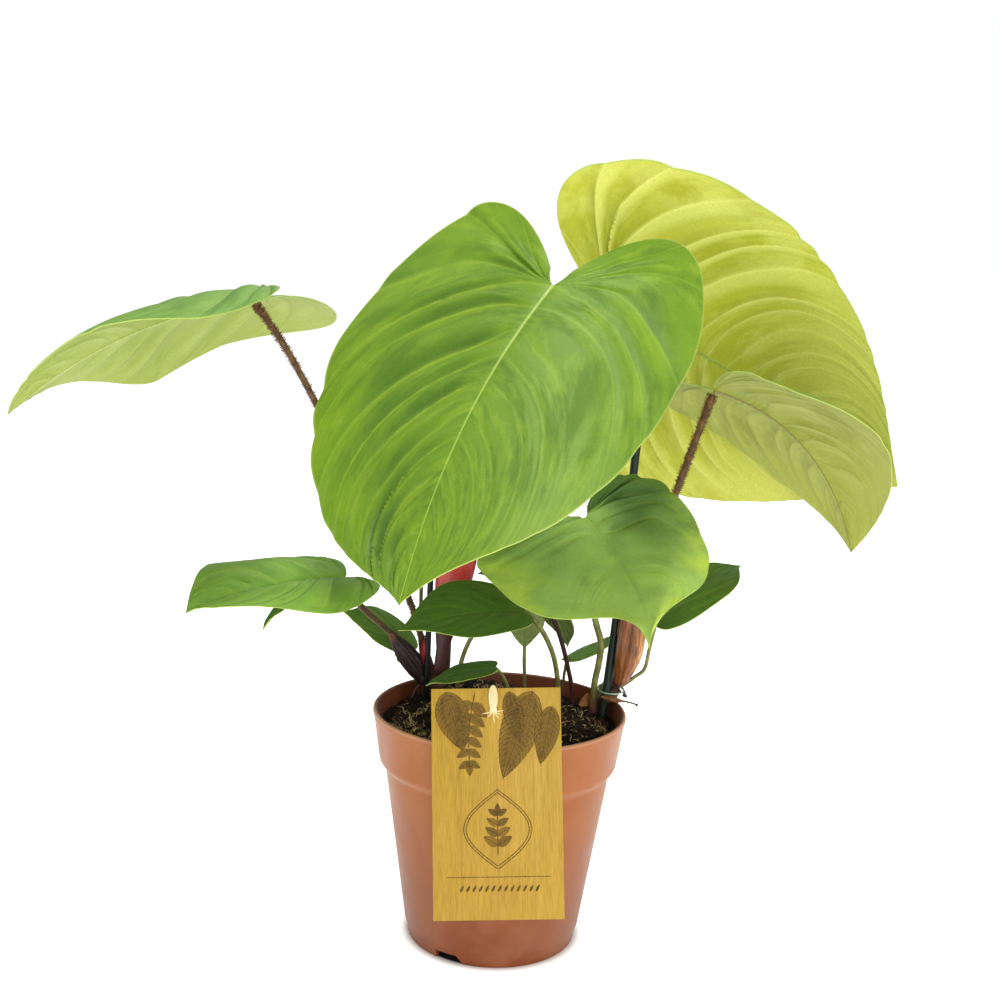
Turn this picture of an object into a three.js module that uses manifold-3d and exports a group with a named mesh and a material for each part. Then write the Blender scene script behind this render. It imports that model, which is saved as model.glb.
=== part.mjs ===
// Potted philodendron with heart-shaped, quilted leaves on scaly brown stalks,
// two support stakes and a care card, in a terracotta-coloured nursery pot.
// Millimetres, +Z up. The origin is the centre of the pot's underside, on the surface it stands on.
// +X is the viewer's right and -Y is the front, where the card hangs.

import * as THREE from 'three';
import { mergeVertices } from 'three/addons/utils/BufferGeometryUtils.js';
import Module from 'manifold-3d';

const wasm = await Module();
wasm.setup();

// Driving dimensions: general
const GAP = 0.3; // clearance between pieces that touch
const DEG = Math.PI / 180;

// Driving dimensions: pot
const POT_HEIGHT = 112;
const RIM_RADIUS = 60;
const RIM_WIDTH = 2.3;
const COLLAR_BOTTOM_RADIUS = 56.6;
const COLLAR_BOTTOM = 90.5;
const BODY_TOP_RADIUS = 53.1;
const BODY_TOP = 84;
const BODY_BOTTOM_RADIUS = 42;
const FOOT_RADIUS = 41.3;
const FOOT_EDGE_RADIUS = 40.2;
const FOOT_HEIGHT = 7.5;
const FOOT_STEP = 0.4; // height of the seam between foot and body
const COLLAR_EDGE = [0.8, 2.5]; // rounding under the collar: inwards, and its height
const RIM_EDGES = { outer: [0.6, 1], inner: 0.5, shoulder: [0.4, 3] }; // roundings: inwards, height
const WALL = 1.5;
const FLOOR_UNDERSIDE = 4;
const FLOOR_TOP = 5.5;
const PAD_RADIUS = 9;
const NOTCH_COUNT = 3;
const NOTCH_WIDTH = 14;
const NOTCH_HEIGHT = 4;
const NOTCH_FLARE = [1.5, -3]; // the notch's slanting end, past its half width at the foot and at its top
const NOTCH_REACH = [3, 11]; // outside and inside the foot ring
const FIRST_NOTCH_ANGLE = -118;
const DRAIN_COUNT = 6;
const DRAIN_RADIUS = 4;
const DRAIN_CIRCLE = 24;
const DRAIN_DEPTH = 6;
const POT_SEGMENTS = 40;

// Driving dimensions: soil
const SOIL_EDGE = 103.5;
const SOIL_CROWN = 106;
const SOIL_CLEARANCE = GAP + 0.1;
const SOIL_SHOULDER = [50, 1.2]; // radius, and height above the edge
const SOIL_FLAT_RADIUS = 26;
const SOIL_SEGMENTS = 32;

// Driving dimensions: stakes and tie
const STAKE_LEFT_RADIUS = 1.5;
const STAKE_LEFT = [[-36.8, 24.9, 52], [-35.5, 21, 262]];
const STAKE_RIGHT_RADIUS = 2;
const STAKE_RIGHT = [[45.9, 8.2, 64], [50.6, 14, 111.4], [54.5, 19, 152], [62.5, 31, 262]];
const TIE_CENTRE = [53.9, 19.5, 117.4];
const TIE_HALF_WIDTH = 6.2;
const TIE_HALF_DEPTH = 11;
const TIE_WIRE = 0.5;
const TIE_TILT = 4; // degrees: the front of the loop is higher

// Driving dimensions: card and its holder
const CARD_WIDTH = 56;
const CARD_HEIGHT = 98;
const CARD_THICKNESS = 0.8;
const CARD_LEAN = 15; // degrees: the foot of the card stands away from the pot
const CARD_CENTRE_X = -2;
const CARD_TOP = [CARD_CENTRE_X, -56.2, 138.6];
const CARD_ROLL = -3.2; // degrees: turn within its own plane
const HOLDER_THICKNESS = 1.2;
const PIN_WIDTH = 3.2;
const PIN_HEIGHT = 2;
const PIN_X = -1.2; // from the card's middle
const PIN_DROP = 9.5; // below the card's top edge
const PIN_REACH = 3; // behind the card's middle
const HEAD_WIDTH = 4;
const HEAD_LENGTH = 12;
const STICK_FOOT = [-2.6, -49.5, 80];
const STICK_TOP = [-2.6, -55.8, 131];

// Driving dimensions: stems, root and the young spear
const STEM_LEFT = { radius: 6.5, path: [[-31.5, 29, 84], [-33, 30, 104], [-33.5, 30.2, 121]] };
const STEM_RIGHT = {
  radius: 3.2,
  path: [[44, 19, 84], [47.8, 19.4, 100], [50.2, 18.9, 111], [56.8, 16.8, 118.6]],
};
const AERIAL_ROOT = {
  radius: 0.55,
  path: [[-38, 28, 114.6], [-41, 27, 112], [-43.4, 25.5, 107.5], [-44.5, 24.5, 98]],
};
const SPEAR = {
  radius: 0.95,
  path: [[-36, 34.4, 112], [-39, 33.6, 122], [-40.9, 33, 135], [-41, 33, 152],
    [-40.8, 33, 170], [-35.2, 33.5, 212]],
};

// Driving dimensions: sheaths. widest is the share of the length where the radius is largest,
// neck the radius at the foot, flat the depth as a share of the width, and bow the sideways bend.
const RED_SHEATH = {
  foot: [-31.2, 24, 117.5], top: [-17, 19, 226], radius: 9, widest: 0.6, neck: 2.6, flat: 0.42, bow: 0,
};
const ORANGE_SHEATH = {
  foot: [57.8, 14.2, 120.4], top: [62, 11, 184], radius: 6.2, widest: 0.4, neck: 3, flat: 0.8, bow: 2.6,
};
const SMALL_SHEATH = {
  foot: [41.6, 27.5, 98], top: [42.4, 27, 112.5], radius: 2.6, widest: 0.5, neck: 1, flat: 0.6, bow: 0,
};
const DRY_SHEATH = {
  foot: [48.6, 11, 115.8], top: [66, 8, 113.9], radius: 1.7, widest: 0.3, neck: 0.9, flat: 0.55, bow: 0,
};

// Driving dimensions: leaf blades
const BLADE_THICKNESS = 0.8;
const SINUS_START = 0.03; // first blade row, as a share of the margin's length
const LOBE_SHARE = 0.16; // share of the margin from the stalk to the rear of a lobe
const WIDEST_SHARE = 0.46; // share of the margin from the stalk to the widest point
const FAN_SHARE = 0.3; // rows below this share fan out from the stalk

// Outline and bending that leaves of one age have in common. Angles are in degrees.
const MATURE = {
  rows: 13, columns: 3, lobeAt: 0.55, fullness: 0.5, tipWidth: 0.2, tipLength: 0.14,
  lobeScale: [1, 1], fold: [8, 8], curl: [25, 25], lobeDroop: 0, twist: 0, sweep: 0,
};
const JUVENILE = {
  rows: 8, columns: 2, lobeAt: 0.35, fullness: 0.43, tipWidth: 0.17, tipLength: 0.28,
  lobeScale: [1, 1], fold: [8, 8], curl: [18, 18], lobeDroop: 5, twist: 0, sweep: 0,
};

// Each leaf: where the blade sits on its stalk, the compass heading of its midrib (0 is +X, 90 is +Y),
// the midrib's rise and roll there, its length from stalk to tip, its left and right half widths,
// how far the lobes reach back, and where along the midrib it is widest. petiole gives the stalk's route.
const LEAVES = [
  {
    name: 'front', kind: MATURE, seat: [16, 5, 311.5], heading: -125, rise: -36, roll: 16,
    length: 185, half: [78.5, 102], lobe: 41.5, widest: 0.25, fullness: 0.8, droop: 3,
    fold: [8, -14], curl: [31, 0], lobeDroop: -28, twist: -23, sweep: -21,
    petiole: {
      radius: 2.2,
      path: [[-29, 31, 116], [-27.9, 31, 123], [-27, 30, 140], [-25.5, 29, 177],
        [-10, 27, 245], [9, 15, 297]],
    },
  },
  {
    name: 'back_right', kind: MATURE, seat: [46.5, 92, 301.5], heading: -4, rise: -22, roll: 61,
    length: 175.5, half: [95, 97], lobe: 45, widest: 0.2, droop: 30,
    fold: [2, 3], curl: [4, 27], lobeDroop: 10, twist: 3, sweep: 1,
    petiole: {
      radius: 2.2,
      path: [[47.4, 21.4, 104], [49, 23.8, 112], [54.2, 27, 121.5], [56.8, 27.5, 151], [52.5, 37, 184],
        [45, 53, 214], [42.5, 74, 258]],
    },
  },
  {
    name: 'right', kind: MATURE, seat: [95, 20, 265.5], heading: 20, rise: -13, roll: 2,
    length: 121, half: [58.5, 68], lobe: 13, widest: 0.21, droop: 63,
    fold: [1, 28], curl: [24, 56], lobeDroop: -12, twist: 3, sweep: -1,
    petiole: {
      radius: 2,
      path: [[54.7, 21.2, 114.5], [59.5, 21, 132], [66, 22, 167.4], [79.2, 21.5, 212.5], [86.8, 20.5, 238.3]],
    },
  },
  {
    name: 'left', kind: MATURE, seat: [-123.5, 21, 298.5], heading: 209, rise: -7, roll: -1,
    length: 125, half: [60, 69], lobe: 44.5, lobeScale: [0.03, 1.3], widest: 0.31, fullness: 0.33, droop: 36,
    fold: [30, 11], curl: [65, 69], lobeDroop: 19, twist: -17, sweep: -2,
    petiole: {
      radius: 1.8,
      path: [[-34, 31, 118], [-38, 29, 131], [-47.6, 27, 158.9], [-91.4, 23, 247.4], [-110, 21.5, 280]],
    },
  },
  {
    name: 'mid_right', kind: MATURE, seat: [36, -4, 206], heading: -57.5, rise: -25.5, roll: -25.5,
    length: 109.5, half: [48, 56.5], lobe: 15, widest: 0.02, fullness: 0.83, tipWidth: 0.06, tipLength: 0.45,
    droop: -31, fold: [6.7, 7.2], curl: [36, 12.7], lobeDroop: -4, twist: 16, sweep: 30,
    petiole: {
      radius: 1.6,
      path: [[45.5, 16, 96], [45.4, 16, 107.5], [45.5, 15.5, 120.6], [47.2, 14, 133.7], [47.3, 12, 142.6],
        [43.8, 8, 154.5], [38, 2, 186]],
    },
  },
  {
    name: 'low_left', kind: MATURE, seat: [-75, 0.5, 171], heading: 215, rise: 6, roll: -10,
    length: 81.5, half: [32, 45.5], lobe: 7.5, widest: 0.27, droop: 22,
    fold: [18, 42], curl: [78, 73], lobeDroop: -4, twist: 8, sweep: -3,
    petiole: { radius: 1.8, path: [[-36.5, 28, 115], [-43, 25, 130], [-57, 17, 144], [-68.5, 8, 157]] },
  },
  {
    name: 'centre', kind: JUVENILE, seat: [10, 4.5, 158.5], heading: 216, rise: 9, roll: 29,
    length: 66.5, half: [15.5, 21], lobe: 1.5, widest: 0.43, droop: 28, twist: 4, curl: [16, 12],
    petiole: { radius: 1.3, path: [[28.5, 21, 96], [28.1, 20, 117], [24.7, 14, 135], [17.5, 8, 150]] },
  },
  {
    name: 'by_card', kind: JUVENILE, seat: [-3, -15, 136], heading: 183, rise: -7, roll: 12,
    length: 33.5, half: [8, 8.5], lobe: 1.5, widest: 0.43, droop: 22,
    petiole: { radius: 0.9, path: [[5, -8, 96], [3.3, -10, 124], [0.3, -13, 132]] },
  },
  {
    name: 'low_right', kind: JUVENILE, seat: [74, 24, 149], heading: 45, rise: 37, roll: 3,
    length: 72, half: [23.5, 23], lobe: 2, widest: 0.43, droop: 38, fold: [13, 12], twist: -5,
    petiole: {
      radius: 0.95,
      path: [[58.2, 18.2, 119.2], [64.8, 18.6, 124], [69.6, 19.5, 128], [71.7, 22, 137]],
    },
  },
  {
    name: 'beside_stake', kind: JUVENILE, seat: [-44, 38, 127.5], heading: 204, rise: 39, roll: 34,
    length: 43.5, half: [10.5, 14.5], lobe: 2, widest: 0.45, droop: 21, twist: 6,
    petiole: { radius: 1, path: [[-34, 35, 114], [-38.5, 38, 121]] },
  },
  {
    name: 'grey', kind: JUVENILE, seat: [11, 30, 134.5], heading: 86, rise: 42, roll: 2,
    length: 30.5, half: [9.5, 9], lobe: 2, widest: 0.42, droop: 20, fold: [10, 10],
    petiole: { radius: 0.95, path: [[12.5, 30, 96], [12, 29.8, 114], [11.2, 29.4, 127]] },
  },
  {
    name: 'dark', kind: JUVENILE, seat: [22.5, 26, 157.5], heading: 50, rise: -52, roll: 0,
    length: 30, half: [9, 9.5], lobe: 2.5, widest: 0.4, droop: 10,
    petiole: { radius: 1.2, path: [[36.8, 32, 96], [36.2, 31, 109.5], [29.3, 26, 137.8], [24, 22.8, 152]] },
  },
  {
    name: 'folded', kind: JUVENILE, seat: [32.5, 37.5, 126], heading: 28, rise: 21, roll: 8,
    length: 34, half: [8, 9.5], lobe: 1.5, widest: 0.43, droop: 5, curl: [28, 28],
    petiole: { radius: 0.8, path: [[31, 40, 96], [31.5, 38.5, 116]] },
  },
  {
    name: 'under_left', kind: JUVENILE, seat: [-89, 9, 161], heading: 213, rise: 2, roll: -15,
    length: 34, half: [8, 9], lobe: 2, widest: 0.42, droop: 55, fold: [12, 13],
    petiole: { radius: 1, path: [[-38, 31, 115], [-43, 29, 129], [-57, 21, 143], [-68.5, 12.5, 156]] },
  },
  {
    name: 'tiny', kind: JUVENILE, seat: [-46, 35, 120], heading: 144, rise: 34, roll: 0,
    length: 10.5, half: [3.5, 3.5], lobe: 1, widest: 0.42, droop: 20,
    petiole: { radius: 0.6, path: [[-40, 36, 98], [-42, 35.6, 110], [-44, 35.3, 117]] },
  },
  {
    name: 'hidden', kind: JUVENILE, seat: [17, 30, 171], heading: 192, rise: 8, roll: 30,
    length: 31, half: [10, 11], lobe: 2, widest: 0.4, droop: 20,
    petiole: { radius: 1.1, path: [[-22, 26, 96], [-19.6, 24, 127], [-13.4, 21, 143], [4, 26, 162]] },
  },
];

const COLOURS = {
  pot: 0xbe7350, soil: 0x2b211a, card: 0xc9a23c, holder: 0xe9dcb4, stakeLeft: 0x1c2426, stakeRight: 0x1d3530,
  tie: 0x9fb59a, stem: 0x3c2418, red: 0xb23320, orange: 0xa55c28, dry: 0x8a5a34, mature: 0x7a9f3c,
  pale: 0xb6bc50, juvenile: 0x4f7a34, brown: 0x6b4426, olive: 0x6f7a3a, dark: 0x2c3320,
};
const BROWN_STALKS = ['right', 'left', 'low_left'];
const DARK_STALKS = ['front', 'dark'];
const PALE_BLADES = ['back_right', 'left', 'right', 'grey', 'folded', 'tiny'];

const plant = new THREE.Group();

function addNode(name, geometry, colour, roughness = 0.5, metalness = 0) {
  const material = new THREE.MeshStandardMaterial({ color: colour, roughness, metalness });
  const mesh = new THREE.Mesh(geometry, material);
  mesh.name = name;
  plant.add(mesh);
  return mesh;
}

// Solids: joining and cutting

function toSolid(geometry) {
  const bare = geometry.clone();
  bare.deleteAttribute('normal');
  bare.deleteAttribute('uv');
  const merged = mergeVertices(bare, 1e-4);
  return new wasm.Manifold(new wasm.Mesh({
    numProp: 3,
    vertProperties: new Float32Array(merged.attributes.position.array),
    triVerts: new Uint32Array(merged.index.array),
  }));
}

function toGeometry(solid) {
  const mesh = solid.getMesh();
  const geometry = new THREE.BufferGeometry();
  geometry.setAttribute('position', new THREE.BufferAttribute(mesh.vertProperties, 3));
  geometry.setIndex(new THREE.BufferAttribute(mesh.triVerts, 1));
  geometry.computeVertexNormals();
  return geometry;
}

function cut(geometry, tools) {
  let solid = toSolid(geometry);
  for (const tool of tools) {
    solid = solid.subtract(toSolid(tool));
  }
  return toGeometry(largestPiece(solid));
}

function largestPiece(solid) {
  const pieces = solid.decompose();
  return pieces.reduce((best, piece) => (piece.volume() > best.volume() ? piece : best));
}

// Shapes along a line

function tube(points, radius, sides, steps, grow = 0) {
  const stops = points.map((point) => new THREE.Vector3(...point));
  const beyond = (end, inner) => end.clone().add(end.clone().sub(inner).setLength(grow));
  const first = beyond(stops[0], stops[1]);
  const last = beyond(stops.at(-1), stops.at(-2));
  const path = new THREE.CatmullRomCurve3([first, ...stops.slice(1, -1), last]);
  const section = new THREE.Shape();
  for (let i = 0; i < sides; i += 1) {
    const angle = (2 * Math.PI * i) / sides;
    const x = (radius + grow) * Math.cos(angle);
    const y = (radius + grow) * Math.sin(angle);
    if (i === 0) {
      section.moveTo(x, y);
    } else {
      section.lineTo(x, y);
    }
  }
  return new THREE.ExtrudeGeometry(section, { extrudePath: path, steps, bevelEnabled: false });
}

function aimed(geometry, foot, top) {
  const start = new THREE.Vector3(...foot);
  const along = new THREE.Vector3(...top).sub(start).normalize();
  const turn = new THREE.Quaternion().setFromUnitVectors(new THREE.Vector3(0, 1, 0), along);
  geometry.applyQuaternion(turn);
  geometry.translate(...foot);
  return geometry;
}

function stemGeometry({ path, radius }, grow = 0) {
  return tube(path, radius, 10, 6, grow);
}

// A pointed sheath, swelling from its neck to its widest place and narrowing to its tip
function sheathGeometry({ foot, top, radius, widest, neck, flat, bow }, grow = 0) {
  const length = new THREE.Vector3(...foot).distanceTo(new THREE.Vector3(...top));
  const power = Math.log(0.5) / Math.log(widest);
  const stations = 8;
  const profile = [[0, -grow], [neck + grow, -grow]];
  for (let i = 1; i < stations; i += 1) {
    const share = i / stations;
    const swell = Math.sin(Math.PI * share ** power) ** 0.8;
    const floor = share < widest ? neck : 0;
    profile.push([Math.max(floor, radius * swell) + grow, share * length]);
  }
  profile.push([0, length + grow]);
  const geometry = lathe(profile, 12);
  geometry.scale(1, 1, flat);
  bend(geometry, bow, length);
  return aimed(geometry, foot, top);
}

// Bows an upright shape towards +X, most at the middle of its length
function bend(geometry, bow, length) {
  const place = geometry.attributes.position;
  for (let i = 0; i < place.count; i += 1) {
    const share = place.getY(i) / length;
    place.setX(i, place.getX(i) + bow * 4 * share * (1 - share));
  }
}

function lathe(profile, segments) {
  return new THREE.LatheGeometry(profile.map(([r, y]) => new THREE.Vector2(r, y)), segments);
}

function uprightLathe(profile, segments) {
  const geometry = lathe(profile, segments);
  geometry.rotateX(Math.PI / 2);
  return geometry;
}

// Pot

function potInnerProfile(clearance) {
  const inner = WALL + clearance;
  return [
    [BODY_BOTTOM_RADIUS - inner, FLOOR_TOP + clearance],
    [BODY_TOP_RADIUS - inner, BODY_TOP + 1],
    [COLLAR_BOTTOM_RADIUS - inner, COLLAR_BOTTOM + 2],
    [RIM_RADIUS - RIM_WIDTH - clearance, POT_HEIGHT - 2],
  ];
}

function notchGeometry(angle) {
  const half = NOTCH_WIDTH / 2;
  const [atFoot, atTop] = NOTCH_FLARE;
  const [outside, inside] = NOTCH_REACH;
  const below = -1;
  const outline = new THREE.Shape();
  outline.moveTo(-half, below);
  outline.lineTo(half + atFoot, below);
  outline.lineTo(half + atTop, NOTCH_HEIGHT);
  outline.lineTo(-half, NOTCH_HEIGHT);
  const geometry = new THREE.ExtrudeGeometry(outline, { depth: outside + inside, bevelEnabled: false });
  geometry.rotateX(Math.PI / 2);
  geometry.translate(0, inside - FOOT_EDGE_RADIUS, 0);
  geometry.rotateZ((angle + 90) * DEG);
  return geometry;
}

function drainGeometry(x, y) {
  const geometry = new THREE.CylinderGeometry(DRAIN_RADIUS, DRAIN_RADIUS, DRAIN_DEPTH, 12);
  geometry.rotateX(Math.PI / 2);
  geometry.translate(x, y, FLOOR_TOP);
  return geometry;
}

function potOuterProfile() {
  const [collarIn, collarDown] = COLLAR_EDGE;
  const { outer, inner, shoulder } = RIM_EDGES;
  return [
    [FOOT_EDGE_RADIUS, 0],
    [FOOT_RADIUS, FOOT_HEIGHT - FOOT_STEP],
    [BODY_BOTTOM_RADIUS, FOOT_HEIGHT],
    [BODY_TOP_RADIUS, BODY_TOP],
    [COLLAR_BOTTOM_RADIUS - collarIn, COLLAR_BOTTOM - collarDown],
    [COLLAR_BOTTOM_RADIUS, COLLAR_BOTTOM],
    [RIM_RADIUS - shoulder[0], POT_HEIGHT - shoulder[1]],
    [RIM_RADIUS, POT_HEIGHT - outer[1]],
    [RIM_RADIUS - outer[0], POT_HEIGHT],
    [RIM_RADIUS - RIM_WIDTH + inner, POT_HEIGHT],
  ];
}

function makePot() {
  const ringInside = FOOT_EDGE_RADIUS - WALL - 1;
  const underside = [
    [0, 0], [PAD_RADIUS, 0], [PAD_RADIUS, FLOOR_UNDERSIDE],
    [ringInside - 0.5, FLOOR_UNDERSIDE], [ringInside, 0],
  ];
  const inside = potInnerProfile(0).reverse();
  const profile = [...underside, ...potOuterProfile(), ...inside, [0, FLOOR_TOP]];
  const tools = [];
  for (let i = 0; i < NOTCH_COUNT; i += 1) {
    tools.push(notchGeometry(FIRST_NOTCH_ANGLE + (360 * i) / NOTCH_COUNT));
  }
  for (let i = 0; i < DRAIN_COUNT; i += 1) {
    const angle = ((i + 0.5) * 2 * Math.PI) / DRAIN_COUNT;
    tools.push(drainGeometry(DRAIN_CIRCLE * Math.cos(angle), DRAIN_CIRCLE * Math.sin(angle)));
  }
  addNode('pot', cut(uprightLathe(profile, POT_SEGMENTS), tools), COLOURS.pot, 0.45);
}

// Soil, cut away round everything that stands in it

function makeSoil(rooted) {
  const wall = potInnerProfile(SOIL_CLEARANCE);
  const rimShare = (SOIL_EDGE - wall[2][1]) / (wall[3][1] - wall[2][1]);
  const edgeRadius = wall[2][0] + (wall[3][0] - wall[2][0]) * rimShare;
  const [shoulderRadius, shoulderRise] = SOIL_SHOULDER;
  const profile = [
    [0, wall[0][1]], wall[0], wall[1], wall[2], [edgeRadius, SOIL_EDGE],
    [shoulderRadius, SOIL_EDGE + shoulderRise], [SOIL_FLAT_RADIUS, SOIL_CROWN], [0, SOIL_CROWN],
  ];
  addNode('soil', cut(uprightLathe(profile, SOIL_SEGMENTS), rooted), COLOURS.soil, 0.95);
}

// Leaf blades

function leafFrame(leaf) {
  const heading = leaf.heading * DEG;
  const rise = leaf.rise * DEG;
  const roll = leaf.roll * DEG;
  const forward = new THREE.Vector3(
    Math.cos(rise) * Math.cos(heading), Math.cos(rise) * Math.sin(heading), Math.sin(rise),
  );
  const level = new THREE.Vector3(Math.sin(heading), -Math.cos(heading), 0);
  const above = level.clone().cross(forward);
  const right = level.clone().multiplyScalar(Math.cos(roll)).addScaledVector(above, Math.sin(roll));
  const up = above.multiplyScalar(Math.cos(roll)).addScaledVector(level, -Math.sin(roll));
  return { right, forward, up, origin: new THREE.Vector3(...leaf.seat) };
}

function bezier(a, b, c, d, t) {
  const s = 1 - t;
  return [0, 1].map((k) => s * s * s * a[k] + 3 * s * s * t * b[k] + 3 * s * t * t * c[k] + t * t * t * d[k]);
}

// The flat margin of one half blade: from the stalk round the lobe to the widest point and the tip
function marginPoint(leaf, half, lobe, t) {
  const widestAt = leaf.widest * leaf.length;
  const rear = [leaf.lobeAt * half, -lobe];
  const widest = [half, widestAt];
  const front = leaf.length - widestAt;
  if (t < LOBE_SHARE) {
    const entry = [0.1 * half, -0.45 * lobe];
    return bezier([0, 0], entry, [rear[0] * 0.6, -lobe], rear, t / LOBE_SHARE);
  }
  if (t < WIDEST_SHARE) {
    const outer = [rear[0] + 0.55 * (half - rear[0]), -lobe];
    const side = [half, widestAt - 0.55 * (widestAt + lobe)];
    return bezier(rear, outer, side, widest, (t - LOBE_SHARE) / (WIDEST_SHARE - LOBE_SHARE));
  }
  const shoulder = [half, widestAt + leaf.fullness * front];
  const drip = [leaf.tipWidth * half, leaf.length - leaf.tipLength * front];
  return bezier(widest, shoulder, drip, [0, leaf.length], (t - WIDEST_SHARE) / (1 - WIDEST_SHARE));
}

// A point of the blade: side -1 is left and +1 right, t runs along the margin, v from midrib to margin
function bladePoint(leaf, frame, side, t, v) {
  const which = side < 0 ? 0 : 1;
  const half = leaf.half[which];
  const [edgeX, edgeY] = marginPoint(leaf, half, leaf.lobe * leaf.lobeScale[which], t);
  const start = leaf.length * Math.max(0, (t - FAN_SHARE) / (1 - FAN_SHARE));
  const bowX = 0.55 * edgeX;
  const bowY = start + 0.3 * (edgeY - start);
  const across = 2 * (1 - v) * v * bowX + v * v * edgeX;
  const along = (1 - v) * (1 - v) * start + 2 * (1 - v) * v * bowY + v * v * edgeY;
  return bentPoint(leaf, frame, side, across, along, half);
}

// Bends a flat point: the midrib droops, the halves fold up and curl down, and the tip twists and sweeps
function bentPoint(leaf, frame, side, across, along, half) {
  const which = side < 0 ? 0 : 1;
  const forwards = Math.max(along, 0);
  const turn = along >= 0 ? (leaf.droop * DEG) / leaf.length : (leaf.lobeDroop * DEG) / leaf.lobe;
  const rate = turn + 1e-9;
  const slope = rate * along;
  const ribY = Math.sin(slope) / rate;
  const ribZ = -(1 - Math.cos(slope)) / rate;
  const lift = leaf.fold[which] * DEG - (leaf.curl[which] * DEG * across) / (2 * half);
  const twist = (leaf.twist * DEG * forwards) / leaf.length;
  const flatX = side * across * Math.cos(lift);
  const flatZ = across * Math.sin(lift);
  const share = forwards / leaf.length;
  const sideways = (leaf.sweep * DEG * leaf.length * share * share) / 2;
  const x = flatX * Math.cos(twist) - flatZ * Math.sin(twist) + sideways;
  const z = flatX * Math.sin(twist) + flatZ * Math.cos(twist);
  return frame.origin.clone()
    .addScaledVector(frame.right, x)
    .addScaledVector(frame.forward, ribY + z * Math.sin(slope))
    .addScaledVector(frame.up, ribZ + z * Math.cos(slope));
}

function bladeNormal(leaf, frame, side, t, v) {
  const step = 0.01;
  const ta = Math.max(SINUS_START, t - step);
  const tb = Math.min(0.99, t + step);
  const va = Math.max(0.02, v - step);
  const vb = Math.min(1, Math.max(v, 0.05) + step);
  const middle = (va + vb) / 2;
  const alongT = bladePoint(leaf, frame, side, tb, middle).sub(bladePoint(leaf, frame, side, ta, middle));
  const row = (ta + tb) / 2;
  const alongV = bladePoint(leaf, frame, side, row, vb).sub(bladePoint(leaf, frame, side, row, va));
  return alongV.cross(alongT).multiplyScalar(side).normalize();
}

function ribNormal(leaf, frame, t) {
  return bladeNormal(leaf, frame, 1, t, 0.05).add(bladeNormal(leaf, frame, -1, t, 0.05)).normalize();
}

// The middle surface of a blade as points, normals and faces; the midrib, seat and tip are shared
function bladeSheet(leaf) {
  const frame = leafFrame(leaf);
  const points = [];
  const normals = [];
  const faces = [];
  const shared = new Map();
  const vertex = (key, point, normal) => {
    if (!shared.has(key)) {
      shared.set(key, points.length);
      points.push(point());
      normals.push(normal());
    }
    return shared.get(key);
  };
  const rowAt = (i) => SINUS_START + (1 - SINUS_START) * (i / leaf.rows);
  const corner = (side, i, j) => {
    const t = rowAt(i);
    const v = j / leaf.columns;
    if (i === leaf.rows) {
      return vertex('tip', () => bladePoint(leaf, frame, 1, 1, 1), () => ribNormal(leaf, frame, 0.95));
    }
    if (j === 0 && t <= FAN_SHARE) {
      return vertex('seat', () => frame.origin.clone(), () => ribNormal(leaf, frame, FAN_SHARE + 0.03));
    }
    if (j === 0) {
      return vertex(`rib${i}`, () => bladePoint(leaf, frame, 1, t, 0), () => ribNormal(leaf, frame, t));
    }
    const place = [leaf, frame, side, t, v];
    return vertex(`${side}_${i}_${j}`, () => bladePoint(...place), () => bladeNormal(...place));
  };
  for (const side of [-1, 1]) {
    for (let i = 0; i < leaf.rows; i += 1) {
      for (let j = 0; j < leaf.columns; j += 1) {
        const a = corner(side, i, j);
        const b = corner(side, i, j + 1);
        const c = corner(side, i + 1, j + 1);
        const d = corner(side, i + 1, j);
        for (const face of [[a, b, c], [a, c, d]]) {
          if (new Set(face).size === 3) {
            faces.push(side > 0 ? face : face.reverse());
          }
        }
      }
    }
  }
  return { points, normals, faces };
}

// Gives a sheet its thickness: upper face, under face and a rim along every open edge
function thicken({ points, normals, faces }, thickness) {
  const count = points.length;
  const position = [];
  for (const side of [0.5, -0.5]) {
    points.forEach((point, i) => {
      const moved = point.clone().addScaledVector(normals[i], side * thickness);
      position.push(moved.x, moved.y, moved.z);
    });
  }
  const index = [];
  const edges = new Set();
  for (const [a, b, c] of faces) {
    index.push(a, b, c, c + count, b + count, a + count);
    for (const [p, q] of [[a, b], [b, c], [c, a]]) {
      edges.add(`${p}_${q}`);
    }
  }
  for (const edge of edges) {
    const [p, q] = edge.split('_').map(Number);
    if (!edges.has(`${q}_${p}`)) {
      index.push(q, p, p + count, q, p + count, q + count);
    }
  }
  const geometry = new THREE.BufferGeometry();
  geometry.setAttribute('position', new THREE.Float32BufferAttribute(position, 3));
  geometry.setIndex(index);
  geometry.computeVertexNormals();
  return geometry;
}

function bladeGeometry(leaf, grow = 0) {
  return thicken(bladeSheet(leaf), BLADE_THICKNESS + 2 * grow);
}

// Stalks: each ends just under its blade and starts in a stem or in the soil

function petiolePath(leaf) {
  return [...leaf.petiole.path, leaf.seat];
}

// Clears a stalk's end from everything above the blade's under face
function seatClearance(leaf) {
  const { right, forward, up } = leafFrame(leaf);
  const size = 10 * leaf.petiole.radius;
  const block = new THREE.BoxGeometry(size, size, size);
  block.translate(0, 0, size / 2 - BLADE_THICKNESS / 2 - GAP);
  block.applyMatrix4(new THREE.Matrix4().makeBasis(right, forward, up));
  block.translate(...leaf.seat);
  return block;
}

function petioleGeometry(leaf, grow = 0) {
  const { radius } = leaf.petiole;
  const sides = radius > 1.5 ? 8 : 6;
  return tube(petiolePath(leaf), radius, sides, leaf.kind === MATURE ? 14 : 8, grow);
}

function bladeColour(name, kind) {
  if (PALE_BLADES.includes(name)) {
    return COLOURS.pale;
  }
  return kind === MATURE ? COLOURS.mature : COLOURS.juvenile;
}

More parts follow.
